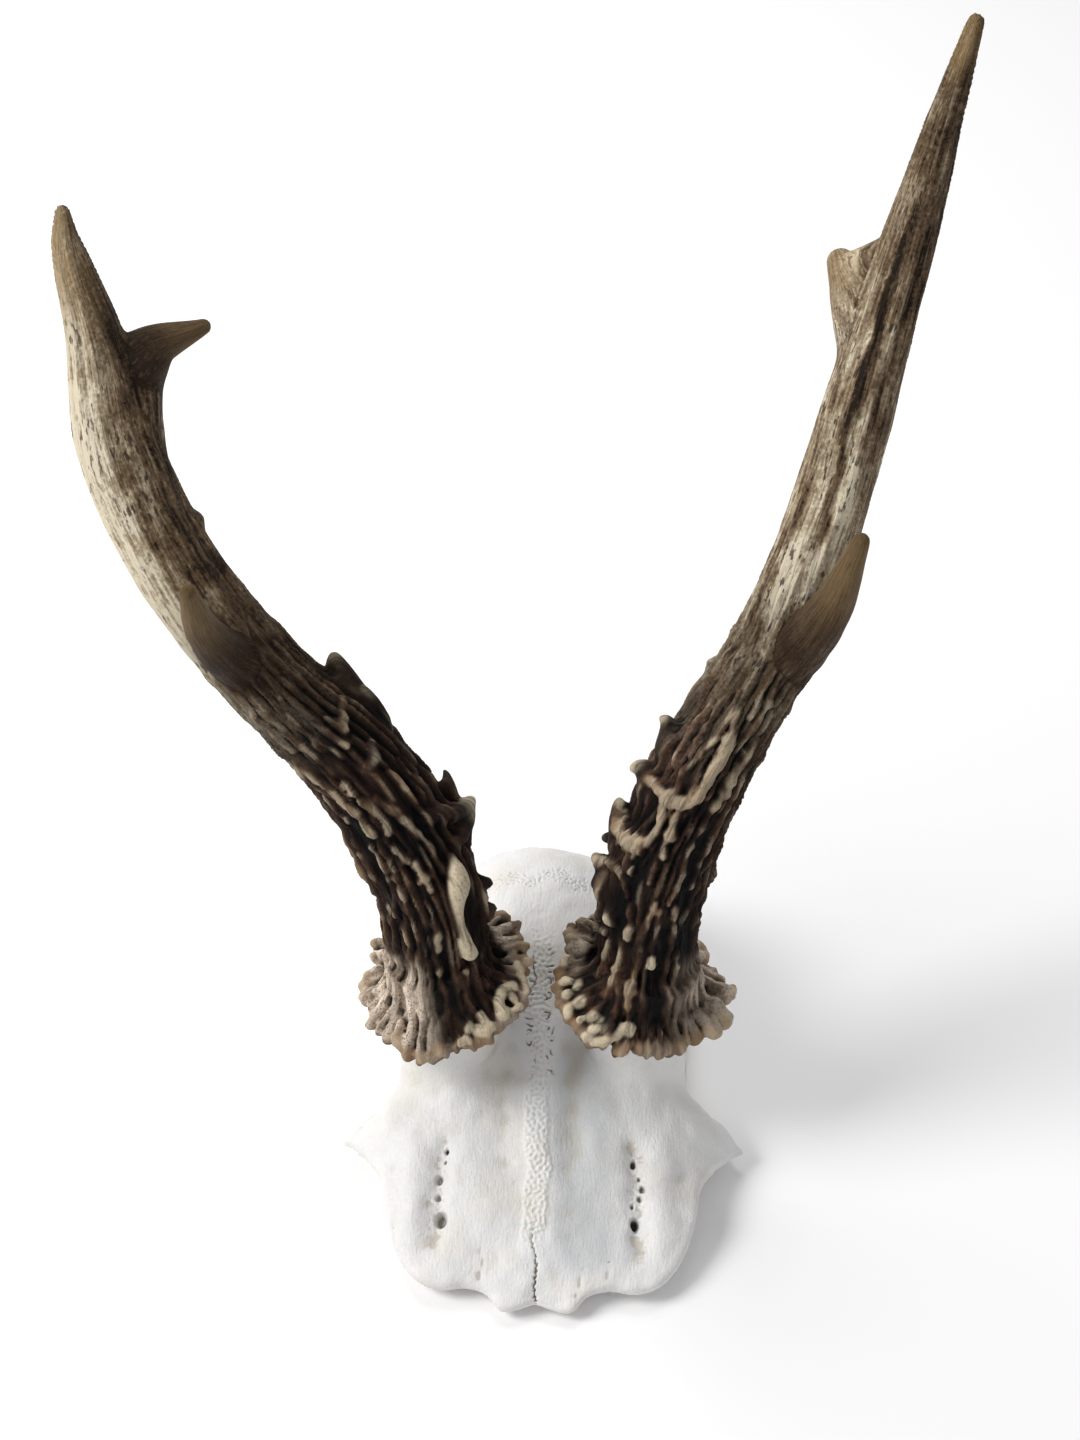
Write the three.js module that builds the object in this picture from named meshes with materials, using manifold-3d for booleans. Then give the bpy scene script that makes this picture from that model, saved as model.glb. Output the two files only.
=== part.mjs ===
import * as THREE from "three";
import { mergeVertices } from "three/addons/utils/BufferGeometryUtils.js";
import Module from "manifold-3d";

// Roe deer skull cap with its two antlers, in mm. It stands on the saw cut under the bone.
// +X is the animal's left, +Y its rear, +Z up; x = 0 is the skull's midline.

const FOREHEAD_SLOPE = Math.tan((22 * Math.PI) / 180); // rise of the forehead towards the antlers
const FOREHEAD_DIP = 1.1; // how far the forehead sags under a straight line
const NASAL_EDGE = 3; // bone thickness over the cut, at the nasal edge
const CREST_Y = 70; // where the forehead turns over into the braincase
const CREST_RADIUS = 20;
const REAR_SLOPE = Math.tan((60 * Math.PI) / 180);
const REAR_Y = 107.8; // where the rear of the braincase meets the cut
const HUB_Y = 50; // the plan outline is star-shaped about (0, HUB_Y)
const SUTURE_Y = 78.5; // coronal suture on the midline
const SUTURE_SWEEP = 6; // how far the coronal suture runs forward at SUTURE_HALF from the midline
const SUTURE_HALF = 28;
const SUTURE_TOOTH = 0.7; // height of its serration
const SUTURE_TEETH = 30; // half-waves over twice SUTURE_REACH
const SUTURE_REACH = 60; // half-length of the cutter that follows it
const GAP = 0.3; // parting between two neighbouring pieces
const SIDE_STRETCH = { left: 1.02, right: 0.975 }; // the two brow ridges differ a little
const OVERHANG = 0.1; // share of its reach by which the brow and nasal rim overhang the cut
const OVERHANG_END = 46; // y at which that overhang has run out
const OVERHANG_BLEND = 8; // mm over which it runs out
const THIN_EDGE = 0.3; // least height of the cap over the cut
const SPOKES = 72; // points round the plan outline
const CAP_REACHES = [0.99, 0.95, 0.88, 0.78, 0.65, 0.5, 0.33, 0.16]; // rings of the cap, shares of its reach
const RIM_STEPS = [[1, 0], [0.3, 0.35], [0, 0.7]]; // rings of the rim: shares of the overhang and the height
const AROUND = 20; // points round a beam or tine
const BEAM_ROWS = 18;
const TINE_ROWS = 6;
const PEDICLE_ROWS = 6;
const FLUTES = 7; // shallow grooves round a beam, crossed by a slower wave of FLUTE_WAVES
const FLUTE_WAVES = 3;
const FLUTE_TWIST = 2.4; // radians the grooves turn from foot to tip
const BEAM_FLUTING = 0.05; // depth of the grooves, as a share of the radius
const TINE_FLUTING = 0.04;
const KNOB_STRETCH = 1.35; // length of a knob along the beam over its width
const KNOB_ROOT = 1; // depth of a knob's root in the beam
const CUTTER = 400; // side of a block that is larger than the whole skull

// Half of the plan outline, from the nasal notch round to the rear: [x, y].
const OUTLINE = [
  [0, 2.4], [3.7, 1.1], [6.2, 0.8], [9.2, 3.9], [13, 5], [17.5, 4.6], [21.4, 5.9], [24.4, 9],
  [26.6, 13.2], [28.3, 19], [29.6, 25.6], [33, 30.2], [36.2, 34.4], [34, 40.2], [28.8, 43.9],
  [26.8, 48], [28, 60], [28.6, 74], [26.5, 87], [20.5, 97.5], [11, 104.8], [0, REAR_Y],
];

// Cross-section of the cap at each y: half-width, height of the rim, and the two powers of its curve.
const SECTIONS = [
  { y: 0, half: 24, rim: 2.6, p: 4, q: 1 },
  { y: 10, half: 25, rim: 4.8, p: 4, q: 1 },
  { y: 20, half: 28.4, rim: 7, p: 3.6, q: 1 },
  { y: 27, half: 30.5, rim: 6.4, p: 3.2, q: 1 },
  { y: 34, half: 36, rim: 5.2, p: 3, q: 1 },
  { y: 42, half: 31.5, rim: 5.5, p: 3.4, q: 0.8 },
  { y: 48, half: 27, rim: 3, p: 3, q: 0.6 },
  { y: 60, half: 28, rim: 0.3, p: 2.3, q: 0.5 },
  { y: 74, half: 28.6, rim: 0.3, p: 2.1, q: 0.5 },
  { y: 87, half: 26.5, rim: 0.3, p: 2, q: 0.5 },
  { y: 97.5, half: 20.5, rim: 0.3, p: 2, q: 0.5 },
  { y: 104.8, half: 11, rim: 0.3, p: 2, q: 0.5 },
  { y: REAR_Y, half: 3, rim: 0.3, p: 2, q: 0.5 },
];

// Hollows open on the cut face: brain case, ethmoid space, and the roof of each eye socket.
const BRAIN_HOLLOW = { centre: [0, 72, 0], radii: [22.5, 27.5, 26] };
const ETHMOID_HOLLOW = { centre: [0, 27, -2], radii: [14, 17, 8] };
const ORBIT_ROOF = { centre: [36.5, 20.5, -3], radii: [14, 13, 7] };

// Supraorbital foramina, beside the midline: [x, y, radius].
const FORAMINA = [[17.6, 16.3, 1.3], [18.2, 20.4, 0.8], [17.8, 24, 0.8], [17.4, 27.6, 0.9]];
const FORAMEN_DEPTH = 5;
const FORAMEN_LIFT = 0.5; // how far a foramen's cutter stands out of the bone

// Bony stalk under each antler: [x, y, z, radius] at its foot and its top.
const PEDICLE = { foot: [13, 57, 12, 14.5], middle: [16.2, 51.6, 25, 10.3], top: [17.7, 50.3, 32, 9.4] };

const BURR_TILT = 12; // degrees the burr leans outward
const BURR_PITCH = 80; // degrees of its axis over the front horizon
const BURR_CENTRE = [18.1, 50, 34.5];
// Profile of a burr along its own axis: [height, radius, share of the scallops].
const BURR_RINGS = [
  [-2.2, 9.6, 0], [-1.9, 12.6, 0.5], [-0.6, 15.4, 1], [1, 15.6, 1], [2.3, 13.6, 0.8], [4, 11.5, 0.4],
  [5.6, 10.3, 0],
];
const BURR_SCALLOPS = 13;
const BURR_SCALLOP_DEPTH = 1.1;
const BURR_WAVES = 5; // slower wave that makes the scallops uneven
const BURR_ROOM = { radius: 17.5, height: 40 }; // space over each pedicle that is kept free for its burr

// Each antler: stations [x, y, z, radius] of the beam from the burr up, and of each tine from inside
// the beam out. Forks and knobs are placed by station number along the beam. A knob is
// [station, degrees round the beam from +X towards the rear, height, radius].
const ANTLERS = {
  left: {
    beam: [
      [18.6, 50.6, 36.5, 9.4], [19.9, 55.4, 60.1, 9.2], [28.1, 62.4, 82.4, 8.1], [39.1, 71, 103, 7.4],
      [46.6, 82.5, 124.4, 6.4], [51.8, 93.7, 142.9, 5.7], [56.6, 102.9, 159.4, 4.4],
      [60.8, 110.9, 175.9, 3.1], [64.8, 116.8, 192.3, 1.4],
    ],
    frontTine: [[37, 70.5, 93, 5.6], [41.2, 66, 103, 5.2], [45.2, 61, 117, 3.9], [48, 57, 134.2, 1.4]],
    rearTine: [[51.5, 91.5, 139.5, 4.2], [50.2, 99.5, 147.4, 5], [47, 109.5, 151.8, 2.5]],
    lowerFork: 2.7,
    upperFork: 5.3,
    knobs: [
      [2.04, 177, 2.4, 1.9], [1.74, 186, 2.6, 2.2], [1.3, 168, 3, 2.6], [1.28, 222, 1.6, 2.4],
      [0.94, 171, 2, 1.8], [0.78, 183, 1.8, 1.6], [0.64, 216, 1.4, 1.5], [2.04, 258, 1.6, 2.2],
      [1.76, 252, 1.4, 2],
    ],
  },
  right: {
    beam: [
      [-18.4, 50.6, 36.5, 9.4], [-21.8, 55, 58.5, 9.6], [-32.6, 60.8, 78, 9], [-49.7, 67, 93.9, 7.8],
      [-63.9, 75, 111, 7.3], [-73.5, 85.2, 128.8, 6.9], [-77.2, 94.3, 144, 4.8], [-81.2, 101.4, 156.4, 2.5],
      [-81.8, 103.9, 161.3, 1.2],
    ],
    frontTine: [
      [-46.5, 67, 91.5, 5.6], [-53.2, 63.5, 99.5, 5.2], [-56.4, 56.6, 112, 3.9], [-57.2, 48.3, 127.5, 1.3],
    ],
    rearTine: [[-75, 88.5, 135, 4.8], [-70.6, 95.4, 139, 4.4], [-60.6, 105.2, 138.8, 1.4]],
    lowerFork: 2.85,
    upperFork: 5.7,
    knobs: [
      [2.55, 33, 3, 2.4], [2.35, 25, 2, 2.2], [2.06, 318, 1.4, 2], [1.52, 24, 2.2, 1.8], [1.26, 12, 3, 2.6],
      [0.95, 315, 1.8, 2.4], [0.7, 7, 1.5, 1.5], [0.52, 309, 1.6, 1.8], [4.22, 24, 1.2, 1.6],
    ],
  },
};

const COLOURS = {
  bone: "#e7e4dd",
  burr: "#8d7a60",
  beamDark: "#4a3929",
  beamUpper: "#8a7558",
  tine: "#a3906c",
};

const wasm = await Module();
wasm.setup();

function toSolid(geometry) {
  const plain = geometry.clone();
  plain.deleteAttribute("normal");
  plain.deleteAttribute("uv");
  const merged = mergeVertices(plain, 1e-4);
  return new wasm.Manifold(
    new wasm.Mesh({
      numProp: 3,
      vertProperties: merged.attributes.position.array,
      triVerts: new Uint32Array(merged.index.array),
    }),
  );
}

function toGeometry(solid) {
  const mesh = solid.getMesh();
  const geometry = new THREE.BufferGeometry();
  geometry.setAttribute("position", new THREE.BufferAttribute(mesh.vertProperties, 3));
  geometry.setIndex(new THREE.BufferAttribute(mesh.triVerts, 1));
  const faceted = geometry.toNonIndexed();
  faceted.computeVertexNormals();
  return faceted;
}

function largest(solid) {
  return solid.decompose().reduce((most, piece) => (piece.volume() > most.volume() ? piece : most));
}

// Closed body through a stack of rings of Vector3, each counter-clockwise about the stack's direction.
function loft(rings) {
  const count = rings[0].length;
  const positions = rings.flat().flatMap((p) => [p.x, p.y, p.z]);
  const faces = [];
  for (let k = 0; k + 1 < rings.length; k++) {
    for (let j = 0; j < count; j++) {
      const a = k * count + j;
      const b = k * count + ((j + 1) % count);
      faces.push(a, b, b + count, a, b + count, a + count);
    }
  }
  const capEnds = [
    [rings[0], 0, true],
    [rings[rings.length - 1], (rings.length - 1) * count, false],
  ];
  for (const [ring, start, facesDown] of capEnds) {
    const hub = ring.reduce((sum, p) => sum.add(p), new THREE.Vector3()).divideScalar(count);
    const hubIndex = positions.length / 3;
    positions.push(hub.x, hub.y, hub.z);
    for (let j = 0; j < count; j++) {
      const a = start + j;
      const b = start + ((j + 1) % count);
      faces.push(hubIndex, facesDown ? b : a, facesDown ? a : b);
    }
  }
  const geometry = new THREE.BufferGeometry();
  geometry.setAttribute("position", new THREE.Float32BufferAttribute(positions, 3));
  geometry.setIndex(faces);
  return toSolid(geometry);
}

// Value of one field of SECTIONS at y, in straight steps from station to station.
function sectionAt(y, field) {
  const inside = THREE.MathUtils.clamp(y, SECTIONS[0].y, REAR_Y - 1e-6);
  const k = SECTIONS.findIndex((s, i) => i + 1 < SECTIONS.length && inside < SECTIONS[i + 1].y);
  const a = SECTIONS[k];
  const b = SECTIONS[k + 1];
  return THREE.MathUtils.lerp(a[field], b[field], (inside - a.y) / (b.y - a.y));
}

// Height of the skull's midline profile: straight forehead, round crest, steep rear.
function midlineHeight(y) {
  const crestZ = NASAL_EDGE + CREST_Y * FOREHEAD_SLOPE;
  const dip = FOREHEAD_DIP * Math.sin(Math.PI * THREE.MathUtils.clamp(y / CREST_Y, 0, 1));
  if (y < CREST_Y) return NASAL_EDGE + y * FOREHEAD_SLOPE - dip;
  const foreheadAngle = Math.atan(FOREHEAD_SLOPE);
  const centreY = CREST_Y + CREST_RADIUS * Math.sin(foreheadAngle);
  const centreZ = crestZ - CREST_RADIUS * Math.cos(foreheadAngle);
  const turnEnd = centreY + CREST_RADIUS * Math.sin(Math.atan(REAR_SLOPE));
  if (y < turnEnd) return centreZ + Math.sqrt(CREST_RADIUS ** 2 - (y - centreY) ** 2);
  return Math.max((REAR_Y - y) * REAR_SLOPE, 0);
}

function capHeight(x, y, side) {
  const half = sectionAt(y, "half") * SIDE_STRETCH[side];
  const rim = sectionAt(y, "rim");
  const across = Math.min(Math.abs(x) / half, 1);
  const crown = (1 - across ** sectionAt(y, "p")) ** sectionAt(y, "q");
  return rim + Math.max(midlineHeight(y) - rim, 0) * crown;
}

// Plan outline as SPOKES points evenly turned about the hub, counter-clockwise from above.
function planOutline() {
  const halfCurve = new THREE.CatmullRomCurve3(OUTLINE.map(([x, y]) => new THREE.Vector3(x, y, 0)));
  const halfPoints = halfCurve.getPoints(400);
  const turned = halfPoints.map((p) => Math.atan2(p.x, HUB_Y - p.y));
  const points = [];
  for (let j = 0; j < SPOKES; j++) {
    const turn = (j / SPOKES) * 2 * Math.PI;
    const mirrored = turn > Math.PI;
    const wanted = mirrored ? 2 * Math.PI - turn : turn;
    const found = turned.findIndex((t) => t >= wanted);
    const p = halfPoints[found < 0 ? halfPoints.length - 1 : found];
    const side = mirrored ? "right" : "left";
    const x = (mirrored ? -p.x : p.x) * SIDE_STRETCH[side];
    points.push({ x, y: p.y, side });
  }
  return points;
}

// The rim is a thin rounded edge that overhangs the cut, except round the braincase.
function rimRings(outline) {
  return RIM_STEPS.map(([inset, lift]) =>
    outline.map((p) => {
      const overhang = OVERHANG * THREE.MathUtils.clamp((OVERHANG_END - p.y) / OVERHANG_BLEND, 0, 1);
      const reach = 1 - inset * overhang;
      const height = lift * capHeight(p.x, p.y, p.side);
      return new THREE.Vector3(p.x * reach, HUB_Y + (p.y - HUB_Y) * reach, height);
    }),
  );
}

function makeCap() {
  const outline = planOutline();
  const rings = rimRings(outline);
  for (const reach of CAP_REACHES) {
    rings.push(
      outline.map((p) => {
        const x = p.x * reach;
        const y = HUB_Y + (p.y - HUB_Y) * reach;
        return new THREE.Vector3(x, y, Math.max(capHeight(x, y, p.side), THIN_EDGE));
      }),
    );
  }
  return loft(rings);
}

// Disc-like ring of a lofted limb, square to its direction, with shallow flutes along it.
function limbRing(centre, direction, radius, fluting, phase) {
  const reference = new THREE.Vector3(0, 1, 0);
  const sideways = new THREE.Vector3().crossVectors(reference, direction).normalize();
  const forward = new THREE.Vector3().crossVectors(direction, sideways).normalize();
  const ring = [];
  for (let j = 0; j < AROUND; j++) {
    const turn = (j / AROUND) * 2 * Math.PI;
    const groove = Math.cos(FLUTES * turn + phase) + 0.5 * Math.cos(FLUTE_WAVES * turn - 2 * phase);
    const flute = 1 + fluting * groove;
    const out = sideways.clone().multiplyScalar(Math.cos(turn)).addScaledVector(forward, Math.sin(turn));
    ring.push(centre.clone().addScaledVector(out, radius * flute));
  }
  return ring;
}

// Tapering limb through stations [x, y, z, radius]; it ends in a rounded point.
function makeLimb(stations, rows, fluting, grow = 0) {
  const curve = new THREE.CatmullRomCurve3(stations.map(([x, y, z]) => new THREE.Vector3(x, y, z)));
  const rings = [];
  for (let k = 0; k <= rows; k++) {
    const t = k / rows;
    const place = t * (stations.length - 1);
    const lower = Math.min(Math.floor(place), stations.length - 2);
    const radius = THREE.MathUtils.lerp(stations[lower][3], stations[lower + 1][3], place - lower);
    const fade = fluting * Math.min(1, 3 * (1 - t)); // the grooves run out over the last third
    rings.push(limbRing(curve.getPoint(t), curve.getTangent(t), radius + grow, fade, FLUTE_TWIST * t));
  }
  const tip = curve.getPoint(1);
  const onward = curve.getTangent(1);
  const tipRadius = stations[stations.length - 1][3] + grow;
  for (const lean of [35, 65]) {
    const angle = (lean * Math.PI) / 180;
    const centre = tip.clone().addScaledVector(onward, tipRadius * Math.sin(angle));
    rings.push(limbRing(centre, onward, tipRadius * Math.cos(angle), 0, 0));
  }
  return loft(rings);
}

function makeBurr(mirror) {
  const pitch = (BURR_PITCH * Math.PI) / 180;
  const tilt = (BURR_TILT * Math.PI) / 180;
  const axis = new THREE.Vector3(mirror * Math.sin(tilt), -Math.cos(pitch), Math.sin(pitch)).normalize();
  const centre = new THREE.Vector3(mirror * BURR_CENTRE[0], BURR_CENTRE[1], BURR_CENTRE[2]);
  const turn = new THREE.Quaternion().setFromUnitVectors(new THREE.Vector3(0, 0, 1), axis);
  const count = 3 * BURR_SCALLOPS;
  const rings = BURR_RINGS.map(([height, radius, share]) => {
    const ring = [];
    for (let j = 0; j < count; j++) {
      const angle = (j / count) * 2 * Math.PI;
      const wave = Math.cos(BURR_SCALLOPS * angle) + 0.5 * Math.sin(BURR_WAVES * angle + 1 + mirror);
      const reach = radius + share * BURR_SCALLOP_DEPTH * wave;
      ring.push(new THREE.Vector3(reach * Math.cos(angle), reach * Math.sin(angle), height));
    }
    return ring.map((p) => p.applyQuaternion(turn).add(centre));
  });
  return { solid: loft(rings), axis, centre };
}

function ellipsoid({ centre, radii }, mirror = 1) {
  const ball = new THREE.SphereGeometry(1, 20, 10);
  ball.scale(...radii);
  ball.translate(mirror * centre[0], centre[1], centre[2]);
  return toSolid(ball);
}

function makePedicle(mirror) {
  const stations = [PEDICLE.foot, PEDICLE.middle, PEDICLE.top].map(([x, y, z, r]) => [mirror * x, y, z, r]);
  const curve = new THREE.CatmullRomCurve3(stations.map(([x, y, z]) => new THREE.Vector3(x, y, z)));
  const rings = [];
  for (let k = 0; k <= PEDICLE_ROWS; k++) {
    const t = k / PEDICLE_ROWS;
    const lower = Math.min(Math.floor(2 * t), 1);
    const radius = THREE.MathUtils.lerp(stations[lower][3], stations[lower + 1][3], 2 * t - lower);
    rings.push(limbRing(curve.getPoint(t), curve.getTangent(t), radius, 0, 0));
  }
  return loft(rings);
}

// Large block above (keep = 1) or below (keep = -1) a plane, for parting a limb.
function block(point, direction, keep) {
  const box = new THREE.BoxGeometry(CUTTER, CUTTER, CUTTER);
  box.translate(0, 0, keep * (CUTTER / 2 + GAP / 2));
  const turn = new THREE.Quaternion().setFromUnitVectors(new THREE.Vector3(0, 0, 1), direction);
  box.applyQuaternion(turn);
  box.translate(point.x, point.y, point.z);
  return toSolid(box);
}

// Plan region behind the coronal suture, a serrated line across the braincase.
function behindSuture(offset) {
  const shape = new THREE.Shape();
  shape.moveTo(SUTURE_REACH, CUTTER);
  shape.lineTo(-SUTURE_REACH, CUTTER);
  for (let k = 0; k <= SUTURE_TEETH; k++) {
    const x = -SUTURE_REACH + (2 * SUTURE_REACH * k) / SUTURE_TEETH;
    const serration = SUTURE_TOOTH * (k % 2 ? 1 : -1);
    shape.lineTo(x, SUTURE_Y - SUTURE_SWEEP * (x / SUTURE_HALF) ** 2 + serration + offset);
  }
  const region = new THREE.ExtrudeGeometry(shape, { depth: CUTTER, bevelEnabled: false });
  region.translate(0, 0, -CUTTER / 2);
  return toSolid(region);
}

function foraminaPits(mirror) {
  return FORAMINA.map(([x, y, radius]) => {
    const pit = new THREE.CylinderGeometry(radius, radius * 0.7, FORAMEN_DEPTH, 8);
    pit.rotateX(Math.PI / 2);
    pit.translate(mirror * x, y, capHeight(x, y, "left") - FORAMEN_DEPTH / 2 + FORAMEN_LIFT);
    return toSolid(pit);
  });
}

function makeSkullPieces(burrs) {
  let cap = makeCap();
  for (const mirror of [1, -1]) {
    cap = cap.add(makePedicle(mirror));
    cap = cap.subtract(ellipsoid(ORBIT_ROOF, mirror));
    for (const pit of foraminaPits(mirror)) cap = cap.subtract(pit);
  }
  for (const { centre, axis } of burrs) {
    const seat = centre.clone().addScaledVector(axis, BURR_RINGS[0][0] - GAP / 2);
    cap = cap.subtract(block(seat, axis, 1).intersect(burrRoom(centre)));
  }
  cap = cap.subtract(ellipsoid(BRAIN_HOLLOW)).subtract(ellipsoid(ETHMOID_HOLLOW));
  const midline = new THREE.BoxGeometry(GAP, CUTTER, CUTTER);
  const front = cap.subtract(behindSuture(-GAP / 2)).subtract(toSolid(midline));
  const halves = front.decompose();
  const middleX = (solid) => solid.boundingBox().max[0] + solid.boundingBox().min[0];
  return {
    frontal_bone_left: halves.find((solid) => middleX(solid) > 0),
    frontal_bone_right: halves.find((solid) => middleX(solid) < 0),
    parietal_bone: cap.intersect(behindSuture(GAP / 2)),
  };
}

function burrRoom(centre) {
  const room = new THREE.CylinderGeometry(BURR_ROOM.radius, BURR_ROOM.radius, BURR_ROOM.height, 24);
  room.rotateX(Math.PI / 2);
  room.translate(centre.x, centre.y, centre.z);
  return toSolid(room);
}

// Rounded knob that grows out of the beam.
function makeKnob(curve, stations, [station, degrees, height, radius]) {
  const last = stations.length - 1;
  const lower = Math.floor(station);
  const beamRadius = THREE.MathUtils.lerp(stations[lower][3], stations[lower + 1][3], station - lower);
  const direction = curve.getTangent(station / last);
  const sideways = new THREE.Vector3(0, 1, 0).cross(direction).normalize();
  const rearward = direction.clone().cross(sideways).normalize();
  const angle = (degrees * Math.PI) / 180;
  const out = sideways.multiplyScalar(Math.cos(angle)).addScaledVector(rearward, Math.sin(angle));
  const ball = new THREE.SphereGeometry(1, 8, 6);
  ball.scale(radius, KNOB_STRETCH * radius, height + KNOB_ROOT);
  const across = direction.clone().cross(out);
  ball.applyMatrix4(new THREE.Matrix4().makeBasis(across, direction, out));
  const seat = curve.getPoint(station / last).addScaledVector(out, beamRadius - KNOB_ROOT);
  ball.translate(seat.x, seat.y, seat.z);
  return toSolid(ball);
}

function makeAntlerPieces(side, burr) {
  const plan = ANTLERS[side];
  const curve = new THREE.CatmullRomCurve3(plan.beam.map(([x, y, z]) => new THREE.Vector3(x, y, z)));
  const last = plan.beam.length - 1;
  let beam = makeLimb(plan.beam, BEAM_ROWS, BEAM_FLUTING);
  for (const knob of plan.knobs) beam = beam.add(makeKnob(curve, plan.beam, knob));
  const beamRoom = makeLimb(plan.beam, BEAM_ROWS, BEAM_FLUTING, GAP);
  const burrHeight = BURR_RINGS[BURR_RINGS.length - 1][0];
  const burrTop = burr.centre.clone().addScaledVector(burr.axis, burrHeight + GAP / 2);
  const part = (from, to) => {
    let piece = beam;
    if (from) piece = piece.intersect(block(from.point, from.direction, 1));
    if (to) piece = piece.intersect(block(to.point, to.direction, -1));
    return piece;
  };
  const cutAt = (station) => ({
    point: curve.getPoint(station / last),
    direction: curve.getTangent(station / last),
  });
  const foot = { point: burrTop, direction: burr.axis };
  const lower = cutAt(plan.lowerFork);
  const upper = cutAt(plan.upperFork);
  return {
    ["burr_" + side]: burr.solid,
    ["beam_lower_" + side]: part(foot, lower),
    ["tine_front_" + side]: largest(makeLimb(plan.frontTine, TINE_ROWS, TINE_FLUTING).subtract(beamRoom)),
    ["beam_middle_" + side]: part(lower, upper),
    ["tine_rear_" + side]: largest(makeLimb(plan.rearTine, TINE_ROWS, TINE_FLUTING).subtract(beamRoom)),
    ["tine_main_" + side]: part(upper, null),
  };
}

function makeMesh(name, solid, colour) {
  const material = new THREE.MeshStandardMaterial({ color: colour, roughness: 0.7 });
  const mesh = new THREE.Mesh(toGeometry(solid), material);
  mesh.name = name;
  return mesh;
}

function colourOf(name) {
  if (name.includes("bone")) return COLOURS.bone;
  if (name.startsWith("burr")) return COLOURS.burr;
  if (name.startsWith("beam_lower")) return COLOURS.beamDark;
  if (name.startsWith("beam_middle")) return COLOURS.beamUpper;
  return COLOURS.tine;
}

const burrs = { left: makeBurr(1), right: makeBurr(-1) };
const pieces = {
  ...makeSkullPieces([burrs.left, burrs.right]),
  ...makeAntlerPieces("left", burrs.left),
  ...makeAntlerPieces("right", burrs.right),
};

const skull = new THREE.Group();
skull.name = "roe_deer_skull_cap";
for (const [name, solid] of Object.entries(pieces)) {
  skull.add(makeMesh(name, solid, colourOf(name)));
}
const extent = new THREE.Box3().setFromObject(skull);
const middle = extent.getCenter(new THREE.Vector3());
skull.position.set(-middle.x, -middle.y, -extent.min.z);

export default skull;
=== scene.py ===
import math

import bmesh
import bpy
import numpy as np
from mathutils import Matrix, Vector


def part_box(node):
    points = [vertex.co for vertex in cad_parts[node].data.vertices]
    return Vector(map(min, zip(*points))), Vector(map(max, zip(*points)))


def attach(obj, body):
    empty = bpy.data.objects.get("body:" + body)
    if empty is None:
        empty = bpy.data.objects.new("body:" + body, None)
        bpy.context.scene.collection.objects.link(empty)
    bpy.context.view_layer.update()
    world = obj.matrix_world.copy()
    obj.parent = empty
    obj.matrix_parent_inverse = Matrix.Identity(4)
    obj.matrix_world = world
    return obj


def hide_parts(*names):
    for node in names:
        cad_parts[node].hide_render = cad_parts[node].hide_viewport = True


# Roe deer skull cap with both antlers. Shapes are worked out in millimetres in the skull's own
# frame: x to the animal's left, y to its rear from the nasal edge, z up from the saw cut.
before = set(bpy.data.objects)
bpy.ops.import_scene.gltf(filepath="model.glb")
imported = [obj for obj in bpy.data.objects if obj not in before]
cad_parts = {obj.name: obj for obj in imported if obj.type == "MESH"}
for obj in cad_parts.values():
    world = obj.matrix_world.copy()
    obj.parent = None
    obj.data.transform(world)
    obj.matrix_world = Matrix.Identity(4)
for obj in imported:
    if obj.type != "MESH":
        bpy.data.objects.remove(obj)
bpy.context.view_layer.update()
print("frame loaded:", len(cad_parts), "solids")
mm = 0.001

rearEnd = 107.8          # rear end of the braincase, mm
sideStretch = {"left": 1.02, "right": 0.975}   # the two brow ridges differ a little
sides = (("left", 1), ("right", -1))           # and the way each lies along x
lowCorner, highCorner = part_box("parietal_bone")
stretchSum = sideStretch["left"] + sideStretch["right"]
midlineX = (sideStretch["right"] * highCorner.x + sideStretch["left"] * lowCorner.x) / stretchSum
skullOrigin = np.array([midlineX, highCorner.y - rearEnd * mm, 0.0])   # row frame, m


def smooth(low, high, value):
    t = np.clip((np.asarray(value, float) - low) / (high - low), 0, 1)
    return t * t * (3 - 2 * t)


def hump(offset, width):
    return np.exp(-(offset / width) ** 2)


def turnFrom(start, degrees):
    # the shorter way round, -180 to 180
    return (degrees - start + 180) % 360 - 180


def unit(vectors, spare=0.0):
    return vectors / (np.linalg.norm(vectors, axis=1, keepdims=True) + spare)


def curveThrough(points, count):
    # centripetal Catmull-Rom, the same curve that the solids follow
    points = np.asarray(points, float)
    ends = np.vstack([2 * points[0] - points[1], points, 2 * points[-1] - points[-2]])
    spans = len(points) - 1
    place = np.linspace(0, spans, count)
    k = np.minimum(place.astype(int), spans - 1)
    w = (place - k)[:, None]
    a, b, c, d = (ends[k + step] for step in range(4))
    gap = lambda p, q: np.maximum(np.linalg.norm((q - p)[:, :3], axis=1, keepdims=True) ** 0.5, 1e-4)
    ab, bc, cd = gap(a, b), gap(b, c), gap(c, d)
    leave = ((b - a) / ab - (c - a) / (ab + bc) + (c - b) / bc) * bc
    arrive = ((c - b) / bc - (d - b) / (bc + cd) + (d - c) / cd) * bc
    return (b + leave * w + (3 * (c - b) - 2 * leave - arrive) * w ** 2
            + (2 * (b - c) + leave + arrive) * w ** 3)


def bandNoise(shape, cell, wavelength, seed, ratio=1.0, spread=0.35):
    # seeded noise with one dominant wavelength in mm across the columns, and that over ratio down the rows
    rng = np.random.default_rng(seed)
    fy = np.fft.fftfreq(shape[0], cell)[:, None] / ratio
    fx = np.fft.rfftfreq(shape[1], cell)[None, :]
    window = hump(np.hypot(fx, fy) * wavelength - 1, spread)
    field = np.fft.irfft2(np.fft.rfft2(rng.standard_normal(shape)) * window, shape)
    return field / field.std()


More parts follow.
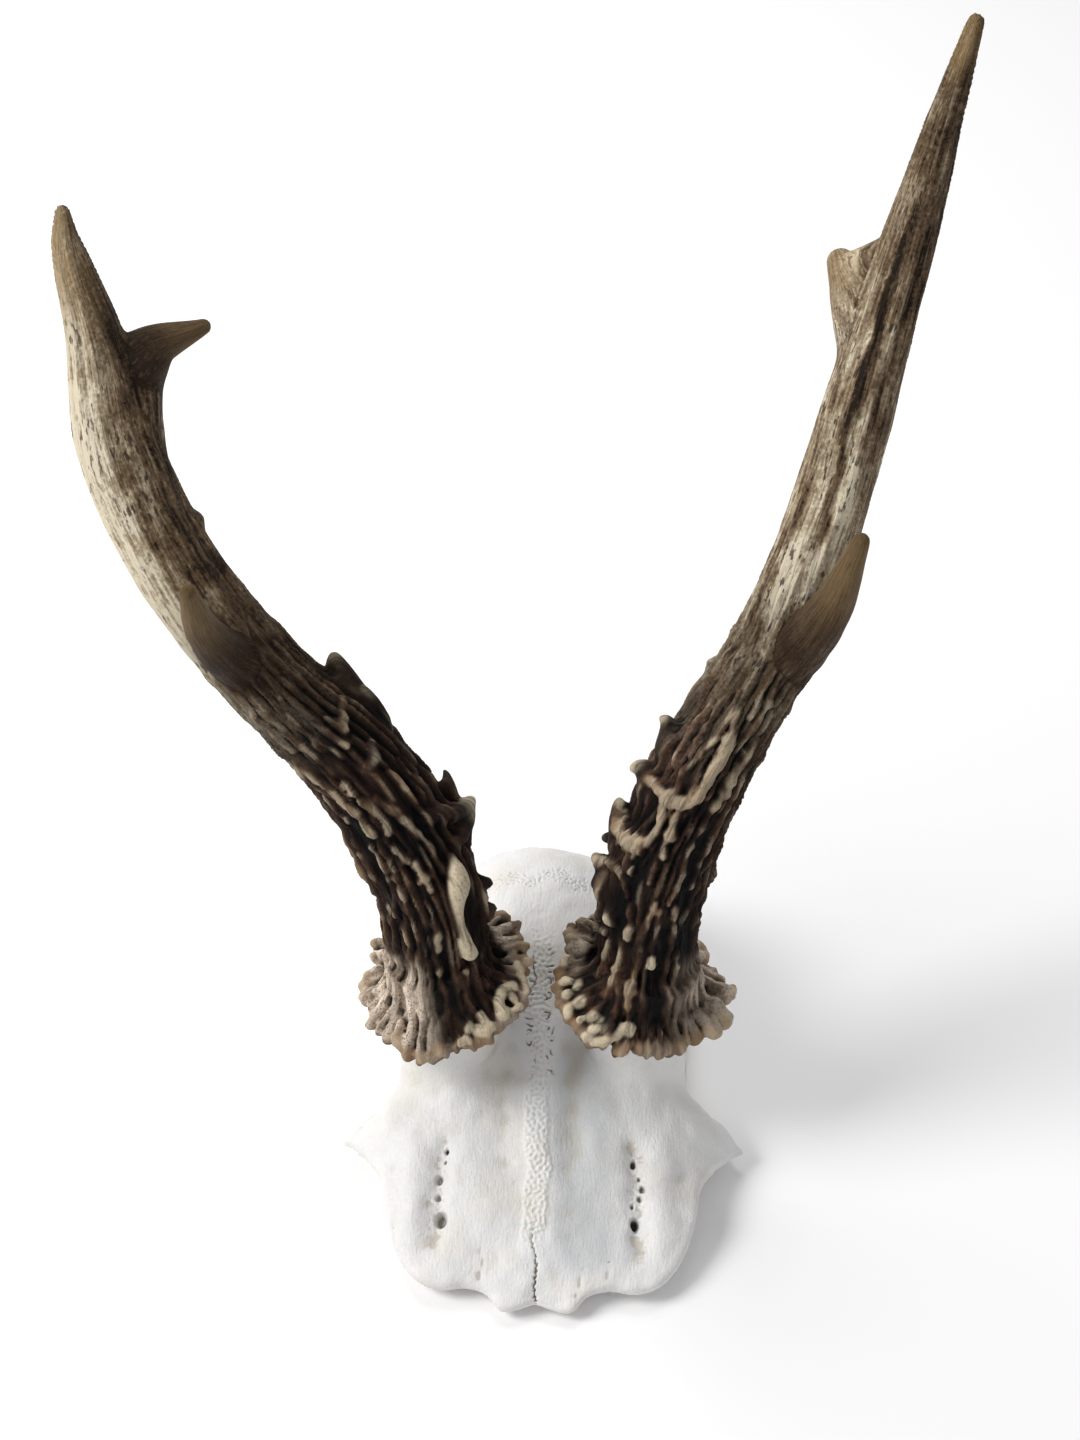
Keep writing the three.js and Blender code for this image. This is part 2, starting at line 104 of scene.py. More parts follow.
def crossings(field, cell, width):
    # lines of even width where a field passes through zero; its last axis joins up
    slopeRows = np.gradient(field, cell, axis=0)
    slopeColumns = (np.roll(field, -1, 1) - np.roll(field, 1, 1)) / (2 * cell)
    distance = np.abs(field) / (np.hypot(slopeRows, slopeColumns) + 0.02)
    return smooth(1.7 * width, 0.3 * width, distance)


def readMap(field, column, row):
    # blends the four cells round each place; the last column joins the first
    row = np.clip(row, 0, field.shape[0] - 1.001)
    i, j = column.astype(int), row.astype(int)
    a, b, nextI = column - i, row - j, (i + 1) % field.shape[1]
    return ((field[j, i] * (1 - a) + field[j, nextI] * a) * (1 - b)
            + (field[j + 1, i] * (1 - a) + field[j + 1, nextI] * a) * b)


def loftBody(rings):
    # closed body through rings[n][m] of points, each counter-clockwise about the way the stack goes
    rings = np.asarray(rings, float)
    n, m = rings.shape[:2]
    points = np.vstack([rings.reshape(-1, 3), rings[0].mean(0), rings[-1].mean(0)])
    j = np.arange(m)
    nextJ = (j + 1) % m
    base = (np.arange(n - 1) * m)[:, None]
    a, b = base + j, base + nextJ
    quads = np.stack([a, b, b + m, a + m], axis=-1).reshape(-1, 4)
    last = (n - 1) * m
    bottom = np.stack([np.full(m, n * m), nextJ, j, j], axis=-1)
    top = np.stack([np.full(m, n * m + 1), last + j, last + nextJ, last + nextJ], axis=-1)
    return points, np.vstack([quads, bottom, top])


def roundEnd(leans):
    # how wide a rounded end is at each lean, and how far on, as shares of its radius
    return [(math.cos(math.radians(lean)), math.sin(math.radians(lean))) for lean in leans]


def strand(points, radii, around=10):
    # closed cord with round ends through a few points, for ridges, pearls and fingers
    path = np.hstack([np.asarray(points, float), np.asarray(radii, float)[:, None]])
    if len(path) == 1:
        path = np.vstack([path - [0, 0, 0.01, 0], path + [0, 0, 0.01, 0]])
    fine = curveThrough(path, max(7 * len(path), 9))
    centre, radius = fine[:, :3], np.maximum(fine[:, 3], 0.12)
    along = unit(np.gradient(centre, axis=0), 1e-9)
    reference = np.where(np.abs(along[:, :1]) < 0.8, [[1.0, 0, 0]], [[0, 1.0, 0]])
    sideways = unit(np.cross(reference, along))
    forward = np.cross(along, sideways)
    turn = np.linspace(0, 2 * np.pi, around, endpoint=False)
    steps = [(0, wide, -on) for wide, on in roundEnd((75, 50, 25))] + [(k, 1, 0) for k in range(len(fine))]
    steps += [(-1, wide, on) for wide, on in roundEnd((25, 50, 75))]
    rings = []
    for k, wide, on in steps:
        way = np.cos(turn)[:, None] * sideways[k] + np.sin(turn)[:, None] * forward[k]
        rings.append(centre[k] + along[k] * radius[k] * on + radius[k] * wide * way)
    return loftBody(rings), np.column_stack([centre, radius])


def fuse(name, bodies, voxel):
    # joins overlapping closed bodies into one skin of even quads
    starts = np.cumsum([0] + [len(points) for points, _ in bodies])
    points = np.vstack([points for points, _ in bodies])
    faces = [tuple(dict.fromkeys(quad))       # the quads round a pole are triangles
             for start, (_, quads) in zip(starts, bodies) for quad in (quads + start).tolist()]
    mesh = bpy.data.meshes.new(name)
    mesh.from_pydata((points * mm + skullOrigin).tolist(), [], faces)
    mesh.update()
    piece = bpy.data.objects.new(name, mesh)
    bpy.context.scene.collection.objects.link(piece)
    remesh = piece.modifiers.new("even skin", "REMESH")
    remesh.mode = "VOXEL"
    remesh.voxel_size = voxel * mm
    graph = bpy.context.evaluated_depsgraph_get()
    graph.update()
    made = bpy.data.meshes.new_from_object(piece.evaluated_get(graph))
    piece.modifiers.clear()
    piece.data = made
    made.name = name
    bpy.data.meshes.remove(mesh)
    keepLargestShell(made)
    print(name.replace("_", " ") + ": bodies fused")
    return piece


def readValues(data, key, width, kind=np.float32):
    flat = np.empty(len(data) * width, kind)
    data.foreach_get(key, flat)
    return flat.reshape(-1, width)


def readPoints(mesh):
    return (readValues(mesh.vertices, "co", 3).astype(float) - skullOrigin) / mm


def readNormals(mesh):
    return readValues(mesh.vertex_normals, "vector", 3).astype(float)


def readEdges(mesh):
    return readValues(mesh.edges, "vertices", 2, np.int32)


def writePoints(mesh, points):
    mesh.vertices.foreach_set("co", (points * mm + skullOrigin).astype(np.float32).ravel())
    mesh.update()


def keepLargestShell(mesh):
    # the remesher can leave small loose shells inside
    edges = readEdges(mesh)
    label = np.arange(len(mesh.vertices))
    while True:
        lowest = np.minimum(label[edges[:, 0]], label[edges[:, 1]])
        new = label.copy()
        np.minimum.at(new, edges[:, 0], lowest)
        np.minimum.at(new, edges[:, 1], lowest)
        new = new[new]
        if (new == label).all():
            break
        label = new
    keep = np.bincount(label).argmax()
    if (label == keep).all():
        return
    bm = bmesh.new()
    bm.from_mesh(mesh)
    bm.verts.ensure_lookup_table()
    bmesh.ops.delete(bm, geom=[bm.verts[i] for i in np.flatnonzero(label != keep)], context="VERTS")
    bm.to_mesh(mesh)
    bm.free()


def relax(values, edges, rounds, weight=1.0):
    # averages each vertex with its neighbours
    count = len(values)
    a, b = edges.T
    degree = np.bincount(a, minlength=count) + np.bincount(b, minlength=count)
    values = values.copy()
    weight = np.broadcast_to(np.asarray(weight, float), count)[:, None]
    for _ in range(rounds):
        total = np.column_stack([np.bincount(a, column[b], count) + np.bincount(b, column[a], count)
                                 for column in values.T])
        values += 0.5 * weight * (total / np.maximum(degree, 1)[:, None] - values)
    return values


def finishMesh(mesh, marks):
    # stores what the materials read at each vertex, and shades the skin smooth
    for name, values in marks.items():
        kind, key = ("FLOAT", "value") if np.ndim(values) == 1 else ("FLOAT_VECTOR", "vector")
        attribute = mesh.attributes.new(name, kind, "POINT")
        attribute.data.foreach_set(key, np.asarray(values, np.float32).ravel())
    mesh.polygons.foreach_set("use_smooth", np.ones(len(mesh.polygons), bool))
    mesh.update()
    print("    marked and finished,", len(mesh.polygons), "faces")


def srgb(code):
    parts = [int(code[i:i + 2], 16) / 255 for i in (1, 3, 5)]
    linear = [p / 12.92 if p <= 0.04045 else ((p + 0.055) / 1.055) ** 2.4 for p in parts]
    return (*linear, 1.0)


def newMaterial(name):
    material = bpy.data.materials.new(name)
    material.use_nodes = True
    material.node_tree.nodes.clear()
    print("material", name)
    return material, material.node_tree


def put(tree, kind, inputs=(), out=0, **settings):
    # adds a node and returns one of its outputs; an input that is a socket is linked, others are values
    node = tree.nodes.new(kind)
    for key, value in settings.items():
        setattr(node, key, value)
    for key, value in dict(inputs).items():
        socket = node.inputs[key]
        if isinstance(value, bpy.types.NodeSocket):
            tree.links.new(value, socket)
        else:
            socket.default_value = value
    return None if out is None else node.outputs[out]


def layered(tree, color, sources, layers):
    # lays colours over each other, each as strong as the product of the sources it follows
    for code, *masks in layers:
        amount = 1.0
        for name, start, full, least, most in masks:
            mask = put(tree, "ShaderNodeMapRange", {0: sources[name], 1: start, 2: full, 3: least, 4: most},
                       interpolation_type="SMOOTHSTEP")
            amount = put(tree, "ShaderNodeMath", {0: amount, 1: mask}, operation="MULTIPLY")
        color = put(tree, "ShaderNodeMix", {0: amount, 6: color, 7: srgb(code)}, 2, data_type="RGBA")
    return color


# Beam and tine stations are [x, y, z, radius]. Ridges and knobs lie on the beam at
# (degrees round it from +X towards the rear, mm up the beam from the burr, height over it). Fingers,
# pearls and rim lobes of the burr are (degrees, reach, size), and bars on it add their height.
antlers = {
    "left": {
        "beam": [(18.6, 50.6, 36.5, 9.4), (19.9, 55.4, 60.1, 9.2), (28.1, 62.4, 82.4, 8.1),
                 (39.1, 71, 103, 7.4), (46.6, 82.5, 124.4, 6.4), (51.8, 93.7, 142.9, 5.7),
                 (56.6, 102.9, 159.4, 4.4), (60.8, 110.9, 175.9, 3.1), (64.8, 116.8, 192.3, 1.4)],
        "frontTine": [(37, 70.5, 93, 5.6), (41.2, 66, 103, 5.0), (45.4, 61, 117, 3.6), (48, 57, 134.2, 1.4)],
        "rearTine": [(51.5, 91.5, 139.5, 4.2), (50.2, 99.5, 147.4, 5), (47, 109.5, 151.8, 2.5)],
        "webs": [[(48.4, 107.6, 152.4, 2.4), (51.6, 105.6, 154.6, 3.0), (55.4, 103.8, 158.4, 3.0)]],
        "outward": 1, "seed": 11, "roughUpTo": 70,
        # how pale the upper beam is, and the side it is palest on; that side faces the key light, so it is
        # partly painted light
        "paleness": 0.2, "paleSwing": 0.35, "paleLitSide": 220, "paleTip": 14, "tinePaleness": (-0.4, 0.45),
        "dusty": 0.6, "dustFrom": 0.1, "paleFrom": (40, 96),
        "rusty": [(213, 51, 20, 9, 1.0), (222, 6, 22, 6, 0.6)],   # bark-red, in the numbers of patches
        # paler and darker places: degrees, mm up, degrees wide, mm long, amount
        "patches": [(236, 84, 17, 10, 0.85), (202, 90, 12, 24, -0.65), (250, 102, 9, 20, -1.2),
                    (272, 102, 26, 24, 0.3), (264, 92, 10, 12, 0.3), (240, 125, 6, 9, -0.5),
                    (222, 112, 42, 15, -0.2), (290, 118, 30, 30, -0.2),
                    (245, 69, 55, 8, -0.55), (300, 146, 70, 30, -0.35), (225, 158, 120, 26, -0.5),
                    (246, 132, 9, 16, -1.0)],
        "cords": [
            [(247, 60, 0.8), (256, 56, 1.7), (262, 51, 2.2), (260, 46, 2.3), (254, 42, 1.4)],
            [(237, 63, 0.5), (243, 57, 0.9), (239, 51, 0.9), (231, 46, 0.9), (234, 42, 1.0)],
            [(200, 41.5, 1.7), (222, 41, 2.1), (238, 41.2, 1.9), (250, 42, 1.5)],
            [(212, 58, 0.5), (207, 52, 0.8), (213, 46, 0.6)],
            [(228, 62, 0.5), (223, 55, 0.7), (227, 49, 0.5)],
            [(296, 57, 0.8), (288, 51, 1.5), (286, 46, 1.7), (284, 41, 0.9), (281, 33, 0.8), (283, 27, 0.9),
             (279, 23, 1.0)],
            [(246, 40, 1.3), (249, 37, 1.6), (251, 33.5, 1.1), (254, 31.5, 1.4)],
            [(230, 39, 1.2), (236, 36, 1.4), (232, 33, 1.8), (221, 31, 2.2), (203, 30.5, 2.2),
             (184, 31.5, 1.9), (174, 34, 1.5)],
            [(217, 30, 0.8), (216, 27.5, 0.9), (222, 26, 1.0), (229, 26.5, 1.3)],
            [(168, 22.5, 1.3), (182, 24, 1.1), (198, 25, 0.9), (210, 25.4, 0.8), (221, 24, 0.8),
             (232, 22, 0.9)],
            [(250, 30, 0.6), (251, 26, 0.6)],
            [(238, 20.6, 1.1), (242, 18, 0.8), (243, 14.8, 1.1)],
            [(204, 13, 1.0), (202, 12.2, 1.1)],
            [(217, 12, 0.7), (212, 9, 1.0), (209, 5.5, 0.9), (206, 2.5, 0.6)],
            [(238, 13, 1.0), (235, 9, 1.2), (232, 4.5, 1.2), (229, 0, 0.8)],
            [(265, 23, 0.6), (262, 18, 0.7), (258, 11, 0.6), (253, 3.5, 1.0), (252, -4, 0.7)],
            [(270, 21.5, 0.7), (273, 17, 0.6), (271, 12.5, 0.6)],
            [(290, 22, 0.6), (293, 17, 0.8), (292, 12, 0.7), (289, 4, 0.6), (288, -6, 0.6)],
            [(303, 12, 0.6), (298, 5, 0.7), (300, -5, 0.6)],
            [(229, 71, 0.6), (240, 70.6, 0.9), (250, 70.4, 0.5)],
            [(256, 74, 0.5), (262, 68, 0.9), (266, 60, 0.7)],
            [(316, 60, 0.5), (306, 49, 0.9), (303, 38, 0.7), (304, 26, 0.7)],
            [(272, 70, 0.5), (278, 62, 0.8), (276, 52, 0.7), (270, 44, 0.5)],
        ],
        "knobs": [   # each starts with how pale its end is
            [0.6, (182, 46.5, -0.9, 2.6), (179, 49.2, 0.5, 1.8), (175, 50.8, 1.5, 1.2),
             (170, 50.6, 2.4, 0.8)],
            [0.7, (192, 38.6, -1.0, 2.5), (186, 40.6, 0.2, 2.0), (181, 41.8, 1.1, 1.5), (177, 41.8, 2.0, 1.2),
             (175, 40.6, 2.5, 1.1)],
            [0.5, (188, 27.5, -1.2, 2.7), (181, 29.6, 0.0, 2.2), (173, 31.6, 0.9, 1.7), (169, 33.4, 1.5, 1.3),
             (178, 34.6, 1.3, 1.0)],
            [0.2, (172, 27.6, 0.3, 1.6), (165, 26.4, 1.5, 1.0)],
            [0.7, (182, 22.3, -0.3, 1.8), (174, 22.7, 0.8, 1.6), (168, 23.0, 1.9, 1.2)],
            [0.0, (186, 19.4, -0.6, 2.6), (181, 19.6, 0.3, 2.0), (187, 21.6, 0.8, 1.0)],
            [0.3, (196, 14.8, 0.2, 1.3)],
            [0.3, (188, 12.5, 0.2, 1.2)],
            [0.85, (210, 17.0, 0.1, 0.9), (214, 16.6, 0.3, 1.3), (220, 15.8, 0.2, 1.1)],
            [0.85, (272, 10.6, 0.1, 0.8), (272, 9.6, 0.3, 1.0)],
            [0.7, (226, 26.3, 0.1, 0.8), (230, 25.6, 0.2, 0.9)],
        ],
        "fingers": [
            (125, 17.4, 1.2), (134, 17.8, 1.3), (143, 17.6, 1.2), (151, 17.4, 1.4), (160, 16.6, 1.4),
            (168, 16, 1.3), (236, 15.6, 1.1), (243, 15.8, 1.0), (252, 15.4, 1.2), (260, 15.8, 1.1),
            (268, 15.6, 1.2), (276, 16, 1.1), (284, 15.8, 1.2), (292, 15.6, 1.1), (300, 15.2, 1.2),
            (309, 14.6, 1.1), (318, 15, 1.5), (331, 15.6, 2.4), (346, 17.2, 2.6), (359, 17.4, 1.8),
            (11, 16.8, 2.4),
        ],
        "pearls": [
            (173, 15.6, 1.15), (190, 15.5, 1.1), (200, 15.9, 1.1), (197, 13.6, 0.85), (210, 14.4, 1.2),
            (212, 16.9, 1.1), (220, 16.2, 0.85), (224, 14.3, 1.0), (231, 13.5, 0.85), (232, 15.5, 0.95),
            (231, 17.3, 0.95),
        ],
        "rim": [(180, 16.6, 2.2), (191, 17.0, 2.2), (202, 17.3, 2.2), (213, 17.4, 2.2), (224, 17.3, 2.2),
                (234, 17.4, 2.2)],
        "bars": [[(238, 16.6, 1.3, 0.8), (244, 15.2, 1.7, 0.85), (247, 13.3, 2.2, 0.9), (251, 12.0, 3.0, 1.0),
                  (256, 11.9, 3.3, 1.15)]],
        "backFrom": 22, "backTo": 120,
    },
    "right": {
        "beam": [(-18.4, 50.6, 36.5, 9.4), (-21.8, 55, 58.5, 9.6), (-32.6, 60.8, 78, 9),
                 (-49.7, 67, 93.9, 7.8), (-63.9, 75, 111, 7.3),
                 (-73.5, 85.2, 128.8, 6.9), (-77.2, 94.3, 144, 4.8),
                 (-81.2, 101.4, 156.4, 2.5), (-81.8, 103.9, 161.3, 1.2)],
        "frontTine": [(-46.5, 67, 91.5, 5.2), (-53.0, 63.5, 99.5, 4.5), (-56.8, 56.6, 112, 3.1),
                      (-57.2, 48.3, 127.5, 1.4)],
        "rearTine": [(-75, 88.5, 135, 4.8), (-70.6, 95.4, 139, 4.4), (-60.6, 105.2, 138.8, 1.4)],
        "webs": [[(-69.6, 83.5, 122, 5.0), (-71.3, 87, 129, 5.4), (-71.2, 92, 135.5, 5.2),
                  (-69, 96.6, 138.6, 4.2)]],
        "outward": -1, "seed": 23, "roughUpTo": 66,
        # the palest side faces the key light: partly the antler's own tone, partly painted light
        "paleness": 0.3, "paleSwing": 0.6, "paleLitSide": 210, "paleTip": 30, "tinePaleness": (-0.8, -0.5),
        "dusty": 1.0, "dustFrom": -0.32, "paleFrom": (48, 100),
        "rusty": [(318, 6, 22, 6, 0.5), (300, 50, 14, 8, 0.3)],
        "patches": [(225, 120, 40, 30, 0.35), (330, 118, 40, 30, -0.45), (285, 104, 10, 16, -0.4),
                    (265, 90, 14, 10, 0.2), (345, 82, 20, 14, -0.3), (240, 60, 30, 16, -0.2)],
        "cords": [
            [(246, 61, 0.6), (250, 54, 1.0), (258, 47, 1.2), (262, 42, 1.1), (264, 37.5, 1.3)],
            [(275, 70, 0.5), (274, 60, 0.9), (276, 52, 0.7), (275, 46, 0.9)],
            [(277, 44, 0.8), (283, 40.5, 1.1), (281, 36.5, 1.3)],
            [(293, 43, 0.6), (298, 39.5, 1.0), (304, 36, 1.3), (308, 32, 1.1), (309, 26, 0.6)],
            [(275, 34, 0.7), (281, 30.5, 1.0)],
            [(286, 29.5, 0.8), (290, 26.5, 1.2), (289, 24, 0.9)],
            [(262, 35, 0.6), (263, 30, 0.8), (258, 26, 0.8), (258, 20, 0.8), (256, 10, 0.6), (258, 2, 0.7),
             (256, -7, 0.7)],
            [(250, 35, 0.8), (254, 31, 0.8), (250, 27, 0.6), (241, 22.5, 0.6), (235, 19.5, 1.1)],
            [(244, 18, 0.7), (246, 12, 0.7), (244, 4, 0.6), (243, -6, 0.7)],
            [(278, 22, 0.7), (279, 15, 0.9), (275, 9, 0.8), (278, 2, 0.7), (277, -6, 0.7)],
            [(322, 45, 0.7), (323, 38, 0.5)],
            [(318, 58, 0.8), (322, 54.5, 1.1), (333, 56, 0.9), (350, 57.5, 1.1)],
            [(293, 57, 0.5), (296, 52, 0.9)],
            [(303, 59, 0.5), (312, 52.5, 1.0)],
            [(303, 6, 0.7), (300, 1, 0.6), (298, -5, 0.7)],
            [(228, 34, 0.6), (232, 26, 0.6), (226, 16, 0.7), (222, 6, 0.6), (221, -5, 0.8)],
            [(214, 22, 0.6), (212, 12, 0.7), (208, 3, 0.6), (207, -5, 0.8)],
            [(340, 45, 0.5), (345, 38, 0.7), (341, 33, 0.6)],
            [(300, 66, 0.5), (290, 60, 0.7), (287, 55, 0.8)],
            [(232, 66, 0.5), (236, 56, 0.8), (238, 48, 0.8), (240, 41, 0.9)],
            [(352, 24, 0.6), (347, 18, 0.7), (352, 12, 0.7)],
            [(260, 74, 0.5), (258, 66, 0.8), (260, 58, 0.6)],
        ],
        "knobs": [
            [0.35, (36, 53, -1.4, 2.8), (33, 56, -0.2, 2.5), (31, 59.2, 1.2, 2.1), (35, 61.8, 2.2, 1.6),
             (44, 62.2, 2.8, 1.0)],
            [0.3, (27, 49, -1.0, 2.3), (25, 52.6, 0.4, 1.8), (23, 54.6, 1.3, 1.2)],
            [0.1, (25, 30.5, -1.0, 2.6), (25, 33.2, 0.4, 2.0), (23, 35.2, 1.4, 1.4), (30, 36.4, 2.0, 0.9)],
            [0.75, (326, 35.0, -0.5, 1.5), (346, 32.6, 0.5, 1.6), (8, 31.0, 1.7, 1.6), (24, 30.4, 3.2, 1.3)],
            [0.75, (334, 27.6, -0.5, 1.3), (348, 28.4, 0.5, 1.7), (6, 29.4, 1.6, 1.6), (20, 30.0, 2.8, 1.1)],
            [0.2, (22, 25.5, -0.8, 2.0), (20, 28.5, 0.9, 1.7)],
            [0.8, (324, 26.6, 0.4, 1.0), (320, 25.0, 1.0, 1.7), (315, 22.8, 1.3, 2.2), (309, 20.4, 0.9, 1.5),
             (306, 18, 0.8, 1.0), (306, 14.5, 0.8, 1.0), (307, 11.7, 1.0, 1.4), (309, 9.8, 1.0, 1.6)],
            [0.1, (9, 17.3, 0.2, 1.9)],
            [0.1, (2, 13.2, 0.2, 1.9)],
            [0.2, (24, 98.6, -0.8, 2.0)],
            [0.1, (352, 17, 0, 1.3)],
            [0.8, (303, 47.4, -0.5, 0.7), (311, 47.4, -0.2, 1.0), (320, 47.8, 0.0, 1.2),
             (330, 49.4, 0.0, 0.8)],
        ],
        "fingers": [
            (168, 15.6, 1.5), (176, 16, 1.5), (184, 16.2, 1.5), (192, 16, 1.3), (200, 15.8, 1.2),
            (208, 16.2, 1.3), (217, 16, 1.3), (226, 16.2, 1.4), (235, 16.4, 1.4), (245, 16.8, 1.4),
            (254, 17, 1.3), (263, 16.8, 1.3), (271, 15.8, 1.2), (280, 15.9, 1.2), (288, 15, 1.1),
            (296, 14.6, 1.1), (0, 16.2, 1.2), (9, 16.8, 1.3), (18, 17, 1.3), (28, 17.6, 1.4),
            (37, 18.2, 1.4), (46, 18.6, 1.5), (54, 17.2, 1.3),
        ],
        "pearls": [
            (334, 15.5, 0.8), (332, 17.0, 0.8), (289, 15.5, 0.85), (284, 15.7, 0.85), (4, 16.8, 1.2),
            (294, 14.0, 0.8), (14, 14.2, 0.9),
        ],
        "rim": [(293, 16.2, 2.2), (303, 16.4, 2.2), (314, 16.1, 2.2), (325, 16.5, 2.2), (336, 17.2, 2.2),
                (347, 16.9, 2.2)],
        "bars": [[(343, 13.9, 2.3, 0.8), (336, 12.8, 3.1, 0.85), (327, 13.1, 2.7, 0.95),
                  (321, 14.8, 1.9, 1.1)],
                 [(299, 13.8, 2.2, 0.85), (304, 14.8, 1.8, 1.1), (309, 14.9, 1.7, 0.9)],
                 [(307, 14.2, 2.0, 0.75), (308, 12.4, 3.2, 0.6)],
                 [(3, 14.1, 2.2, 0.5), (352, 15.3, 1.5, 0.65), (344, 16.5, 1.0, 0.6)]],
        "backFrom": 62, "backTo": 160,
    },
}
burr = {
    "pitch": 80, "tilt": 12, "centre": (18.1, 50, 34.5), "pearlNeck": 0.8, "pearlRise": 0.28,
    "leastReach": 12.9, "coreRadius": 11.5, "neckRadius": 8.9, "neckRise": 9.5,        # mm
    "underside": [(9.0, -3.0), (11.2, -2.7), (12.6, -2.2)],        # radius and height
    # share of the reach beyond the core, and height
    "rimProfile": [(0.85, -1.7), (0.96, -1.1), (1.0, -0.35), (0.97, 0.35), (0.9, 0.85)],
    "topSteps": (0.12, 0.25, 0.4, 0.55, 0.7, 0.85, 1.0),        # from the rim in to the beam
    "fingerGap": 9.5,        # degrees between those at the back
    "fingerChance": 0.55,        # share of the fingers that also stand up loose
    "arcRadius": 15,        # mm, where the widths of the rim's lobes are measured
}
antlerVoxel = 0.4        # mm
bareFrom = 0.8           # knobs and bars at least this pale are rubbed quite smooth


def limbFrame(stations, step=0.35):
    fine = curveThrough(stations, 1500)
    lengths = np.r_[0, np.cumsum(np.linalg.norm(np.diff(fine[:, :3], axis=0), axis=1))]
    s = np.arange(0, lengths[-1], step)
    path = np.column_stack([np.interp(s, lengths, fine[:, k]) for k in range(4)])
    along = unit(np.gradient(path[:, :3], axis=0))
    sideways = unit(np.cross([0, 1.0, 0], along))
    return {"s": s, "centre": path[:, :3], "radius": path[:, 3], "along": along,
            "sideways": sideways, "rear": np.cross(along, sideways), "length": lengths[-1]}


def onLimb(limb, degrees, s, out):
    k = np.clip(np.searchsorted(limb["s"], s), 0, len(limb["s"]) - 1)
    a = np.radians(degrees)
    way = limb["sideways"][k] * np.cos(a)[..., None] + limb["rear"][k] * np.sin(a)[..., None]
    return limb["centre"][k] + way * (limb["radius"][k] + out)[..., None]


def limbBody(limb, around=72):
    turn = np.linspace(0, 2 * np.pi, around, endpoint=False)
    way = (limb["sideways"][:, None, :] * np.cos(turn)[None, :, None]
           + limb["rear"][:, None, :] * np.sin(turn)[None, :, None])
    rings = list(limb["centre"][:, None, :] + way * limb["radius"][:, None, None])
    tip, onward, tipRadius = limb["centre"][-1], limb["along"][-1], limb["radius"][-1]
    for wide, on in roundEnd((20, 40, 60, 78)):
        rings.append(tip + onward * tipRadius * on + way[-1] * tipRadius * wide)
    return loftBody(rings)


skin = {"girth": 9.4, "cell": 0.25, "below": 12.0}   # mm: radius of the maps, grid, start below burr


def uneven(rng, count, every, least, most):
    # wanders between two limits along a cord, with a new aim every few steps
    knots = np.arange(0, count + every, every)
    return np.interp(np.arange(count), knots, rng.uniform(least, most, len(knots)))


def drawCords(plan, s, ragged):
    # how high the larger ridges are drawn, and where the finer relief gives way to them
    (rows, columns), cell = ragged.shape, skin["cell"]
    drawn, calm = np.zeros(ragged.shape), np.zeros(ragged.shape)
    rng = np.random.default_rng(plan["seed"] + 7)
    for cord in plan["cords"]:
        degrees, up, size = np.array(cord, float).T
        way = np.column_stack([np.radians(degrees) * skin["girth"], up, 0 * up, size])
        count = int(np.linalg.norm(np.diff(way[:, :2], axis=0), axis=1).sum() / 0.3) + 4
        swell = uneven(rng, count, 5, 0.65, 1.35)
        drift = uneven(rng, count, 7, -0.3, 0.3)
        for (arc, high, _, wide), grow, aside in zip(curveThrough(way, count), swell, drift):
            width = (0.26 + 0.42 * wide) * grow
            i, j = int((high - s[0]) / cell), int((arc + aside) / cell)
            reach = int(3.2 * width / cell) + 2
            iBlock = np.arange(max(i - reach, 0), min(i + reach, rows))
            jBlock = np.arange(j - reach, j + reach)
            far = np.hypot((s[iBlock] - high)[:, None], (jBlock * cell - arc - aside)[None, :])
            where = np.ix_(iBlock, jBlock % columns)
            profile = smooth(1.75 * width, 0.35 * width, far * ragged[where])
            drawn[where] = np.maximum(drawn[where], (0.45 + 0.7 * wide * grow) * profile)
            calm[where] = np.maximum(calm[where], smooth(2.4 * width, 1.1 * width, far))
    return drawn, calm


